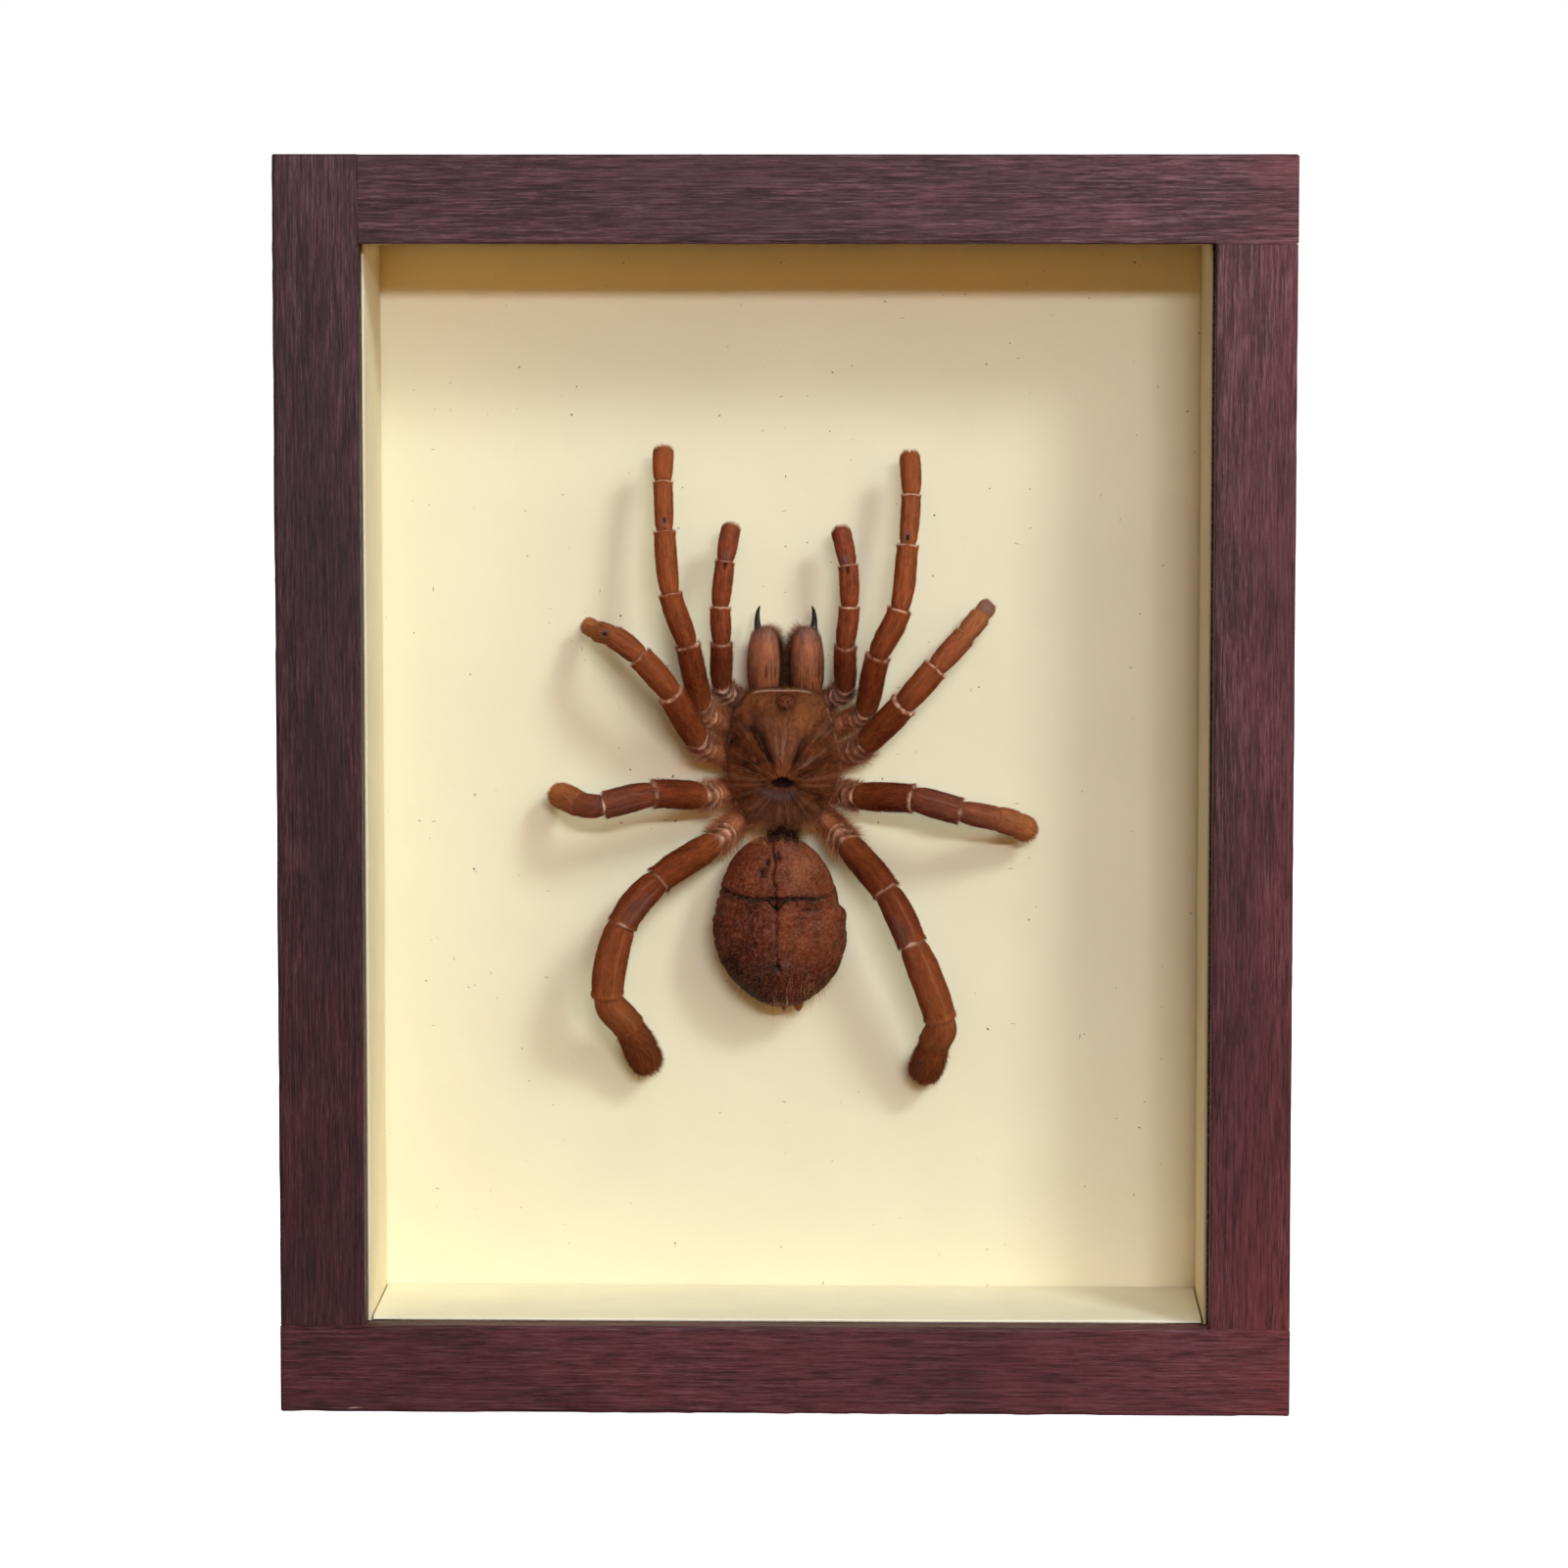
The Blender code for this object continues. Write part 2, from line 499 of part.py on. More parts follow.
def abdomen(parts, cutters):
    """The leathery abdomen, creased across and grooved along, with pedicel and spinnerets."""
    hide = finish_of("abdomen_hide", (98, 50, 28), 0.6)

    def shape(unit):
        reach = ABDOMEN_FRONT if unit.z > 0 else ABDOMEN_BACK
        v = ABDOMEN_WIDEST_V + reach * unit.z
        full = egg(v)
        angle = math.atan2(unit.x, -unit.y)
        top = max(0.0, math.cos(angle))
        middle = ABDOMEN_MID + ABDOMEN_LEAN * (ABDOMEN_WIDEST_V - v) + GROOVE_SHIFT * top
        u = middle + ABDOMEN_HALF_WIDTH * full * math.sin(angle)
        half_height = (ABDOMEN_HEIGHT - GAP) / 2
        h = GAP + half_height * (1.0 + full ** 0.7 * math.cos(angle))
        crease = CREASE_DEPTH * math.exp(-((v - CREASE_V) / CREASE_WIDTH) ** 2) * top ** 0.5
        groove = GROOVE_DEPTH * math.exp(-(math.sin(angle) / 0.1) ** 2) * top * full
        return u, v, h - max(crease, groove)

    body = add("abdomen", ball(32, 22, shape), hide, parts)
    stalk = bmesh.new()
    wide, narrow = PEDICEL_RADII
    bmesh.ops.create_cone(stalk, cap_ends=True, segments=12, radius1=wide * MM,
                          radius2=narrow * MM, depth=PEDICEL_LENGTH * MM)
    pedicel = as_cutter(add("pedicel", stalk, hide, cutters))
    pedicel.location = on_board(CARAPACE_MID, PEDICEL_V, PEDICEL_H)
    boolean(body, pedicel, "UNION")
    for number, (u0, radius) in enumerate(SPINNERETS):
        bm = ball(10, 8, lambda unit, u0=u0, radius=radius: (
            u0 + radius * unit.x, SPINNERET_V + SPINNERET_REACH * unit.z,
            SPINNERET_H + radius * unit.y))
        spinneret = as_cutter(add("spinneret_" + str(number + 1), bm, hide, cutters))
        boolean(body, spinneret, "UNION")
    smooth(body)
    return body


def jaws(parts, cutters, clearance):
    """Both chelicerae, trimmed against the carapace, and the black fang on each."""
    fur = finish_of("chelicera_fur", (134, 79, 53), 0.8)
    horn = finish_of("fang_horn", (18, 14, 13), 0.2)
    wide, long, tall = CHELICERA_SIZE
    for word, side, mid in (("left", -1, CHELICERA_MIDS[0]), ("right", 1, CHELICERA_MIDS[1])):

        def shape(unit, mid=mid):
            around = math.atan2(unit.x, -unit.y)
            girth = (1.0 - abs(unit.z) ** CHELICERA_FULLNESS) ** (1.0 / CHELICERA_FULLNESS)
            girth *= 1.0 - 0.14 * max(0.0, unit.z)
            return (mid + wide * girth * math.sin(around), CHELICERA_V + long * unit.z,
                    CHELICERA_H + tall * girth * math.cos(around))

        jaw = add("chelicera_" + word, ball(18, 14, shape), fur, parts)
        smooth(jaw)
        boolean(jaw, clearance)
        points, radii = [], []
        for outward, forward, radius in FANG_SWEEP:
            points.append((mid + side * (FANG_OUT + outward), FANG_V + forward,
                           CHELICERA_H - FANG_DROP * max(0.0, forward)))
            radii.append(radius)
        fang = tube("fang_" + word, points, radii, horn, parts)
        boolean(fang, swollen(jaw, GAP, cutters))


def tube(name, points, radii, material, group):
    """A round limb along points of the specimen's map, with a radius at each."""
    curve = bpy.data.curves.new(name, "CURVE")
    curve.dimensions = "3D"
    curve.bevel_depth = MM
    curve.bevel_resolution = 2
    curve.use_fill_caps = True
    spline = curve.splines.new("POLY")
    spline.points.add(len(points) - 1)
    for point, place, radius in zip(spline.points, points, radii):
        point.co = (*on_board(*place), 1.0)
        point.radius = radius
    obj = bpy.data.objects.new(name, curve)
    group.objects.link(obj)
    made = from_curve(obj, material, group)
    smooth(made)
    return made


def through(points, number, along):
    """A point on the smooth curve through the joints, part of the way to the next joint."""
    before, start = points[max(0, number - 1)], points[number]
    end, after = points[number + 1], points[min(len(points) - 1, number + 2)]
    bend = (2 * start + (end - before) * along
            + (2 * before - 5 * start + 4 * end - after) * along ** 2
            + (3 * start - before - 3 * end + after) * along ** 3)
    return bend / 2


def limb(name, joints, radii, material, group):
    """A limb whose segments swell between their narrow joints."""
    joints = [Vector(joint) for joint in joints]
    points, widths = [], []
    for number, radius in enumerate(radii):
        outline = SEGMENT_SHAPE if number < len(radii) - 1 else TIP_SHAPE
        for along, fullness in outline:
            points.append(through(joints, number, along))
            widths.append(radius * fullness)
    return tube(name, points, widths, material, group)


def limbs(parts, cutters, clearance):
    """Pedipalps and legs, each trimmed where it meets the cephalothorax and the limb ahead."""
    fur = finish_of("limb_fur", (124, 64, 34), 0.8)
    ahead = {}
    for name, (radii, joints) in LIMBS.items():
        side = name.rsplit("_", 1)[1]
        made = limb(name, joints, radii, fur, parts)
        boolean(made, clearance)
        if side in ahead:
            boolean(made, swollen(ahead[side], GAP, cutters))
        ahead[side] = made


def main():
    for obj in list(bpy.data.objects):
        bpy.data.objects.remove(obj)
    parts = collection("framed_tarantula_specimen")
    cutters = collection("cutters")

    members = frame_members(parts, cutters)
    glass = finish_of("clear_glass", (240, 244, 242), 0.03, 0.0, 0.15)
    sheet("glass_pane", GLASS_Y, GLASS_THICKNESS, glass, parts)
    liners(parts)
    paper = finish_of("cream_paper", (241, 230, 190), 0.85)
    sheet("mount_board", BOARD_Y, BOARD_THICKNESS, paper, parts)
    hardboard = finish_of("hardboard", (120, 88, 62), 0.8)
    panel = sheet("back_panel", PANEL_Y, BACK_THICKNESS, hardboard, parts)
    panel_points(members, parts, cutters)
    hanger(panel, parts, cutters)

    body = cephalothorax(parts, cutters)
    clearance = swollen(body, GAP, cutters)
    boolean(abdomen(parts, cutters), clearance)
    jaws(parts, cutters, clearance)
    limbs(parts, cutters, clearance)


main()
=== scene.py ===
"""Framed tarantula specimen, dressed: stained wooden shadow box, cream board and furred spider.

The script is laid out as an add-on and run as a script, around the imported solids. Lengths are
written in millimetres and become metres where a mesh is made. The specimen has a map of its own
on the board: u to the right, v up the board and h out from the board's face.
"""
import math

import bmesh
import bpy
import numpy as np
from bpy.props import FloatProperty, FloatVectorProperty, IntProperty, PointerProperty
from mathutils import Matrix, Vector


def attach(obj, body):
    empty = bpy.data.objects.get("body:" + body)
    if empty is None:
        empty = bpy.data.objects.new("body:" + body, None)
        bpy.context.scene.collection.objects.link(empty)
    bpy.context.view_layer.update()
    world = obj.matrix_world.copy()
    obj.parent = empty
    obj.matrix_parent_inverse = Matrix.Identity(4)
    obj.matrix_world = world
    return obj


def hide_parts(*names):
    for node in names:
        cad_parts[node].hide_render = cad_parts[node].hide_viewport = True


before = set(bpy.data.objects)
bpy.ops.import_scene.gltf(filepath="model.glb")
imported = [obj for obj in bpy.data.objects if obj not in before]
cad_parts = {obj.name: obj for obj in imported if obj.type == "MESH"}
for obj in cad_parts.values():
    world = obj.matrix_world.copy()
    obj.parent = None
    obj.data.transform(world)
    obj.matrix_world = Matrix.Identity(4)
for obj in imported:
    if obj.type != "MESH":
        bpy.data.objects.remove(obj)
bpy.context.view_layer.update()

bl_info = {
    "name": "Framed tarantula specimen",
    "version": (1, 0, 0),
    "blender": (4, 5, 0),
    "location": "3D View > Sidebar > Specimen",
    "description": "Builds the looks of a spread tarantula in a glazed shadow box",
    "category": "Object",
}

MM = 0.001
GAP = 0.3

# The holder, as in the solids
FRAME_X = (-100.5, 100.5)
FRAME_Y = (-25.0, 25.0)
FRAME_Z = (0.0, 250.0)
SIGHT_X = (-83.4, 84.4)         # the opening that shows
SIGHT_Z = (17.7, 232.4)
REBATE_X = (-87.3, 87.9)
REBATE_Z = (13.5, 236.3)
SHELF_Y = -20.0                 # the back of the lip, where the rebate starts
EDGE_EASE = 0.5
LINER_Y = (-17.4, 16.0)
LINER_THICKNESS = 4.0
BOARD_Y = 16.3
SHARP_ANGLE = math.radians(50.0)        # faces that meet at more than this keep a hard edge

# The specimen's place and its limbs: joints (u, v, h) from the hip to the tip, and radii
SPECIMEN_X = -1.1
SPECIMEN_Z = 122.3
PEDIPALP_RADII = (2.0, 2.1, 2.35, 2.25, 2.15, 2.15)
LEG_1_RADII = (2.2, 2.3, 2.6, 2.55, 2.35, 2.1, 2.25)
LEG_2_RADII = (2.3, 2.5, 2.95, 2.75, 2.5, 2.3, 2.0)
LEG_3_RADII = (2.3, 2.6, 3.05, 2.95, 2.6, 2.8, 2.8)
LEG_4_RADII = (2.3, 2.6, 3.1, 3.2, 3.45, 3.4, 3.4)
LIMBS = {
    "pedipalp_left": (PEDIPALP_RADII, (
        (-5.8, 15.2, 5.0), (-9.6, 17.8, 6.0), (-12.2, 20.4, 8.0), (-12.2, 29.4, 12.0),
        (-12.4, 36.7, 12.5), (-11.5, 45.8, 11.0), (-10.3, 53.2, 9.0))),
    "pedipalp_right": (PEDIPALP_RADII, (
        (6.0, 15.2, 5.0), (9.8, 17.6, 6.0), (12.6, 19.8, 8.0), (12.8, 28.7, 12.0),
        (13.6, 36.7, 12.5), (13.3, 45.0, 11.0), (11.7, 52.6, 9.0))),
    "leg_1_left": (LEG_1_RADII, (
        (-8.2, 10.3, 4.8), (-12.8, 13.2, 6.5), (-16.2, 16.0, 9.2), (-19.0, 29.1, 14.0),
        (-22.4, 39.7, 15.5), (-23.6, 52.1, 14.0), (-24.0, 62.0, 12.0), (-24.0, 68.9, 10.0))),
    "leg_1_right": (LEG_1_RADII, (
        (8.2, 10.3, 4.8), (12.8, 12.9, 6.5), (16.7, 15.2, 9.2), (19.4, 26.9, 14.0),
        (23.8, 36.5, 15.5), (25.4, 49.4, 14.0), (26.1, 59.4, 12.0), (25.8, 67.7, 10.0))),
    "leg_2_left": (LEG_2_RADII, (
        (-9.0, 4.6, 4.8), (-13.2, 6.6, 6.5), (-16.9, 9.2, 9.5), (-22.2, 19.3, 15.5),
        (-28.4, 26.9, 17.0), (-33.8, 30.7, 14.0), (-37.3, 31.4, 8.5), (-39.9, 32.4, 4.2))),
    "leg_2_right": (LEG_2_RADII, (
        (9.0, 4.6, 4.8), (13.2, 6.4, 6.5), (16.9, 8.8, 9.5), (24.6, 17.3, 15.5),
        (31.0, 24.7, 16.5), (36.7, 30.8, 13.0), (39.9, 34.4, 8.5), (41.9, 36.7, 5.0))),
    "leg_3_left": (LEG_3_RADII, (
        (-9.2, -1.0, 4.8), (-13.2, -1.7, 6.5), (-16.2, -1.9, 9.5), (-25.9, -1.0, 15.5),
        (-35.7, -3.1, 16.0), (-40.3, -3.5, 13.0), (-43.5, -2.7, 8.5), (-46.0, -2.2, 4.2))),
    "leg_3_right": (LEG_3_RADII, (
        (9.2, -1.0, 4.8), (13.0, -1.7, 6.5), (15.4, -1.9, 9.5), (26.5, -1.8, 15.5),
        (36.0, -4.2, 16.0), (42.9, -6.0, 12.5), (47.1, -7.6, 8.5), (50.3, -9.5, 4.5))),
    "leg_4_left": (LEG_4_RADII, (
        (-7.3, -5.8, 4.8), (-10.9, -9.0, 6.5), (-13.6, -11.4, 9.5), (-24.9, -18.4, 16.0),
        (-32.2, -27.4, 17.0), (-35.3, -41.9, 15.0), (-31.3, -49.4, 9.5), (-27.4, -58.4, 4.6))),
    "leg_4_right": (LEG_4_RADII, (
        (7.3, -5.8, 4.8), (10.7, -9.0, 6.5), (13.2, -11.6, 9.5), (21.2, -20.6, 16.0),
        (26.5, -31.2, 17.0), (32.1, -46.4, 15.0), (31.0, -52.5, 9.5), (28.8, -60.1, 4.6))),
}

# How strongly each joint from the femur on shows a pale ring, and how dark each segment's coat is
RINGS = {
    "pedipalp_left": (0.45, 1.0, 0.7), "pedipalp_right": (0.5, 1.0, 0.75),
    "leg_1_left": (0.95, 1.0, 0.7, 0.8), "leg_1_right": (0.75, 1.0, 1.0, 0.95),
    "leg_2_left": (1.0, 0.8, 0.15, 0.1), "leg_2_right": (1.0, 0.95, 0.6, 0.0),
    "leg_3_left": (1.0, 1.0, 0.2, 0.0), "leg_3_right": (0.95, 0.8, 0.25, 0.0),
    "leg_4_left": (1.0, 0.75, 0.25, 0.0), "leg_4_right": (0.95, 0.7, 0.3, 0.0),
}
SHADES = {                      # dark, grey and ember of each segment from the hip to the tip
    "pedipalp": ((.5, .3, .2), (.35, .3, .2), (.4, .05, 0), (.12, .05, 0), (0, .05, 0),
                 (.05, .2, 0)),
    "leg_1": ((.2, .0, .35), (.05, .0, .45), (.42, .0, 0), (.1, 0, .1), (0, 0, .2), (0, .05, .2),
              (0, .05, .25)),
    "leg_2": ((.2, .0, .35), (.05, .0, .45), (.3, .0, .1), (.1, .0, .15), (.05, .1, .15),
              (.05, .1, .5), (0, .1, .7)),
    "leg_3": ((.2, .0, .35), (.05, .0, .45), (.4, .0, 0), (.25, .3, 0), (.15, .25, .1),
              (.05, .1, .5), (0, 0, .75)),
    "leg_4": ((.2, .0, .35), (.05, .0, .45), (.4, .0, .05), (.35, .08, 0), (.15, .0, .22),
              (.2, 0, .4), (.55, 0, .25)),
}
PATCHES = {         # bare spots: segment, share along it, degrees round it, reach, spread, mask
    "pedipalp_left": ((4, 0.93, 4, 1.5, 14, "dark"), (5, 0.1, 4, 1.1, 16, "grey")),
    "pedipalp_right": ((4, 0.94, -4, 1.5, 14, "dark"), (5, 0.1, -4, 1.3, 16, "grey")),
    "leg_1_left": ((5, 0.14, 5, 1.1, 20, "grey"), (5, 0.18, 8, 0.6, 12, "dark")),
    "leg_1_right": ((5, 0.15, -12, 1.4, 18, "grey"), (5, 0.12, -8, 0.7, 14, "dark")),
    "leg_2_left": ((5, 0.08, 0, 1.0, 16, "dark"), (5, 0.1, 0, 1.7, 26, "grey")),
    "leg_2_right": ((6, 0.5, 0, 2.6, 60, "grey"),),
    "leg_4_left": ((3, 0.62, -20, 4.5, 38, "grey"),),
    "leg_4_right": ((3, 0.72, 25, 3.6, 38, "grey"), (6, 0.5, 30, 2.6, 14, "grey")),
}


# ---------------------------------------------------------------------------------- what is set

class SpecimenSettings(bpy.types.PropertyGroup):
    """Sizes and colours that a user of the specimen would change."""
    grain_depth: FloatProperty(
        name="Grain depth", description="Depth of the brushed grain in the wood, in millimetres",
        default=0.09, min=0.0, max=0.3)
    stain: FloatVectorProperty(
        name="Stain", description="Colour of the wood stain", subtype="COLOR",
        default=(0.062, 0.022, 0.024), min=0.0, max=1.0)
    paper: FloatVectorProperty(
        name="Paper", description="Colour of the board's paper", subtype="COLOR",
        default=(0.88, 0.832, 0.56), min=0.0, max=1.0)
    liner: FloatVectorProperty(
        name="Linings", description="Colour of the linings of the box", subtype="COLOR",
        default=(0.93, 0.81, 0.53), min=0.0, max=1.0)
    coat: FloatVectorProperty(
        name="Coat", description="Colour of the fur on the legs", subtype="COLOR",
        default=(0.325, 0.0625, 0.0145), min=0.0, max=1.0)
    hide: FloatVectorProperty(
        name="Hide", description="Colour of the abdomen's dried hide", subtype="COLOR",
        default=(0.160, 0.0265, 0.0055), min=0.0, max=1.0)
    coat_density: FloatProperty(
        name="Coat density", description="Short hairs on each square millimetre of skin",
        default=19.0, min=0.0, max=40.0)
    coat_length: FloatProperty(
        name="Coat length", description="Length of the short hairs", subtype="DISTANCE",
        default=0.00105, min=0.0002, max=0.004)
    bristle_density: FloatProperty(
        name="Bristle density", description="Long hairs on each square millimetre of skin",
        default=1.6, min=0.0, max=10.0)
    bristle_length: FloatProperty(
        name="Bristle length", description="Length of the long hairs", subtype="DISTANCE",
        default=0.0024, min=0.0005, max=0.008)
    seed: IntProperty(name="Seed", description="Seed of the hairs' places", default=7)


class StudioSettings(bpy.types.PropertyGroup):
    """The camera's place and the strength of the lights."""
    eye: FloatVectorProperty(
        name="Camera", description="Where the camera stands", subtype="XYZ", unit="LENGTH",
        default=(0.0242, -1.080, 0.2422))
    lens: FloatProperty(
        name="Lens", description="Focal length", unit="CAMERA", default=123.6, min=10.0)
    shift: FloatProperty(
        name="Shift", description="How far the picture is shifted down, in picture widths",
        default=-0.085, min=-0.2, max=0.2)
    key: FloatProperty(
        name="Key lamp", description="Power of the long lamp before the box", default=29.0,
        min=0.0)
    window: FloatProperty(
        name="Window", description="Power of the broad light from the upper right", default=17.0,
        min=0.0)
    side: FloatProperty(
        name="Side lamp", description="Power of the small lamp from the upper right",
        default=20.0, min=0.0)
    warm: FloatProperty(
        name="Warm fill", description="Power of the low warm light from the front", default=13.0,
        min=0.0)
    fill: FloatProperty(
        name="High fill", description="Power of the soft light from high in front", default=9.8,
        min=0.0)
    rim: FloatProperty(
        name="Back lamps", description="Power of each of the two lamps behind", default=30.0,
        min=0.0)
    sky: FloatProperty(
        name="Sky", description="Strength of the light from all round", default=0.05, min=0.0)


# ------------------------------------------------------------------------------ numbers and noise

def cell_value(cells, seed):
    """A fixed value from 0 to 1 for each whole-numbered cell, without any order."""
    x, y, z = (cells[..., axis].astype(np.int64) for axis in range(3))
    mixed = (x * 73856093) ^ (y * 19349663) ^ (z * 83492791) ^ (seed * 40503 + 977)
    mixed = ((mixed ^ (mixed >> 13)) & 0x7FFFFFFF) * 1274126177 & 0x7FFFFFFFFFFF
    return ((mixed ^ (mixed >> 16)) & 0xFFFFFF) / 0xFFFFFF


def noise(points, seed=0):
    """Smooth noise from 0 to 1 at (..., 3) points, one cell to a unit."""
    base = np.floor(points)
    part = points - base
    part = part * part * (3.0 - 2.0 * part)
    total = 0.0
    for corner in range(8):
        offset = np.array([(corner >> axis) & 1 for axis in range(3)])
        weight = np.prod(np.where(offset == 1, part, 1.0 - part), axis=-1)
        total = total + weight * cell_value(base + offset, seed)
    return total


def layered(points, layers=3, seed=0, fall=0.5):
    """Noise from -1 to 1 in layers, each twice as fine and `fall` times as strong."""
    total, strength, whole = 0.0, 1.0, 0.0
    for layer in range(layers):
        total = total + strength * (noise(points * 2.0 ** layer, seed + layer) * 2.0 - 1.0)
        whole += strength
        strength *= fall
    return total / whole


def ramp(value, low, high):
    """A smooth step from 0 at `low` to 1 at `high`."""
    share = np.clip((value - low) / (high - low), 0.0, 1.0)
    return share * share * (3.0 - 2.0 * share)


def hump(value, centre, width):
    """A smooth hump of height 1 at `centre`."""
    return np.exp(-((value - centre) / width) ** 2)


def vectors(*parts):
    """Several arrays side by side as one array of vectors."""
    return np.stack(np.broadcast_arrays(*parts), axis=-1)


def mottled(across, along, layers, seed, fall=0.5):
    """Layered noise over two measures of a surface."""
    return layered(vectors(across, along, 0.0 * across), layers, seed, fall)


def full_turn(count):
    """Even angles all the way round, in radians."""
    return np.linspace(-math.pi, math.pi, count, endpoint=False)


def unit(rows):
    """Vectors brought to length 1."""
    return rows / np.maximum(np.linalg.norm(rows, axis=-1, keepdims=True), 1e-9)


def on_board(rows):
    """Points of the specimen's map (u, v, h) in the part's own frame, in metres."""
    u, v, h = rows[..., 0], rows[..., 1], rows[..., 2]
    return vectors(SPECIMEN_X + u, BOARD_Y - h, SPECIMEN_Z + v) * MM


def to_world(rows):
    """Directions of the specimen's map in the part's own frame."""
    return vectors(rows[..., 0], -rows[..., 2], rows[..., 1])


# ----------------------------------------------------------------------------------------- meshes

def add_masks(mesh, masks):
    """Store arrays of one number or one vector for each point."""
    for name, values in masks.items():
        flat = np.asarray(values, np.float32)
        kind, field = ("FLOAT", "value") if flat.ndim == 1 else ("FLOAT_VECTOR", "vector")
        mesh.attributes.new(name, kind, "POINT").data.foreach_set(field, flat.ravel())


def place(name, mesh, finishes):
    """An object in the scene for a mesh, with its materials."""
    for finish in finishes:
        mesh.materials.append(finish)
    obj = bpy.data.objects.new(name, mesh)
    bpy.context.scene.collection.objects.link(obj)
    return obj


def strip_quads(count, around, first=0):
    """The faces between rings of points that follow each other."""
    row = np.arange(around)
    turn = np.roll(row, -1)
    starts = first + np.arange(count - 1)[:, None] * around
    return np.stack([starts + row, starts + turn, starts + around + turn,
                     starts + around + row], axis=-1).reshape(-1, 4)


def strip_piece(name, node, slot, points, faces, masks, finish, flat_from=None):
    """A piece that stands for a solid, from points in millimetres.

    From face number `flat_from` on, such as on the sawn ends, its faces are flat.
    """
    mesh = bpy.data.meshes.new(node)
    mesh.from_pydata((points * MM).tolist(), [], faces)
    add_masks(mesh, masks)
    bm = bmesh.new()
    bm.from_mesh(mesh)
    bmesh.ops.recalc_face_normals(bm, faces=bm.faces)
    bm.to_mesh(mesh)
    bm.free()
    mesh.shade_smooth()
    mesh.set_sharp_from_angle(angle=SHARP_ANGLE)
    for face in mesh.polygons[flat_from or len(faces):]:
        face.use_smooth = False
    settle(place(name, mesh, [finish]), slot, node)


def across_line(way):
    """The two ways across a line: level with the board, and out from it."""
    side = unit(np.cross(way, (0.0, 0.0, 1.0)))
    return side, unit(np.cross(side, way))


def ringed(middles, side, rise, ring, turn):
    """Rings of points round a line, each point turned by its angle from the way out."""
    return middles + ring[..., None] * (
        rise[:, None] * np.cos(turn)[None, :, None] + side[:, None] * np.sin(turn)[None, :, None])


def lofted(name, rings, poles, masks, finish, slot, *nodes):
    """A closed smooth piece of the specimen from rings of points, with one point at each end."""
    count, around = rings.shape[:2]
    points = on_board(np.vstack([poles[0], rings.reshape(-1, 3), poles[1]]))
    quads = strip_quads(count, around, 1)
    row = np.arange(around)
    turn = np.roll(row, -1)
    last = 1 + (count - 1) * around
    fans = np.vstack([np.stack([np.zeros_like(row), 1 + turn, 1 + row], 1),
                      np.stack([np.full_like(row, len(points) - 1), last + row,
                                last + turn], 1)])
    a, b, c, d = (points[quads[:, corner]] for corner in range(4))
    volume = np.einsum("ij,ij->i", a, np.cross(b, c) + np.cross(c, d)).sum()
    faces = quads.tolist() + fans.tolist()
    if volume < 0:
        faces = [face[::-1] for face in faces]
    mesh = bpy.data.meshes.new(name)
    mesh.from_pydata(points.tolist(), [], faces)
    ended = {}
    for key, values in masks.items():
        values = np.broadcast_to(values, (count, around) + np.shape(values)[2:]).astype(float)
        flat = values.reshape(count * around, -1)
        ended[key] = np.vstack([values[0].mean(0), flat, values[-1].mean(0)])
        if values.ndim == 2:
            ended[key] = ended[key].ravel()
    add_masks(mesh, ended)
    mesh.shade_smooth()
    skin = place(name, mesh, [finish])
    settle(skin, slot, *nodes)
    return skin


def settle(piece, slot, *nodes):
    """Make a piece ride on the box and hide the solids that it stands for; the slot is not used.
    """
    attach(piece, "root")
    if nodes:
        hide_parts(*nodes)


# ---------------------------------------------------------------------------------- node building

def put(tree, kind, sockets=None, **settings):
    """Add a node; each socket takes a value or another node's output."""
    made = tree.nodes.new(kind)
    for name, value in settings.items():
        setattr(made, name, value)
    for key, value in (sockets or {}).items():
        if isinstance(value, bpy.types.NodeSocket):
            tree.links.new(value, made.inputs[key])
        else:
            made.inputs[key].default_value = value
    return made


def new_finish(name, roughness, **sockets):
    """A material with its shader's own sockets set; gives the material, its tree and shader."""
    material = bpy.data.materials.new(name)
    material.use_nodes = True
    tree = material.node_tree
    shader = tree.nodes["Principled BSDF"]
    shader.inputs["Roughness"].default_value = roughness
    for key, value in sockets.items():
        shader.inputs[key.replace("_", " ")].default_value = value
    return material, tree, shader


def scaled(tree, vector, scale):
    """A vector stretched by a factor along each axis."""
    node = put(tree, "ShaderNodeVectorMath", {0: vector, 1: scale}, operation="MULTIPLY")
    return node.outputs[0]


def place_in_mm(tree):
    """The point's own place, in millimetres."""
    coordinates = put(tree, "ShaderNodeTexCoord").outputs["Object"]
    return scaled(tree, coordinates, (1000.0, 1000.0, 1000.0))


def stored(tree, name, output="Fac"):
    """A mask or vector that is stored on the mesh."""
    return put(tree, "ShaderNodeAttribute", attribute_name=name).outputs[output]


def grains(tree, vector, scale, detail=3.0, roughness=0.55, distortion=0.0):
    """Soft noise on a vector."""
    return put(tree, "ShaderNodeTexNoise", {
        "Vector": vector, "Scale": scale, "Detail": detail, "Roughness": roughness,
        "Distortion": distortion}).outputs[0]


def sums(tree, operation, first, second=0.0, clamp=False):
    """One arithmetic step."""
    return put(tree, "ShaderNodeMath", {0: first, 1: second}, operation=operation,
               use_clamp=clamp).outputs[0]


def between(tree, value, low, high, to_low=0.0, to_high=1.0):
    """A value brought from one range to another, and held inside it."""
    return put(tree, "ShaderNodeMapRange", {
        "Value": value, "From Min": low, "From Max": high, "To Min": to_low,
        "To Max": to_high}).outputs[0]


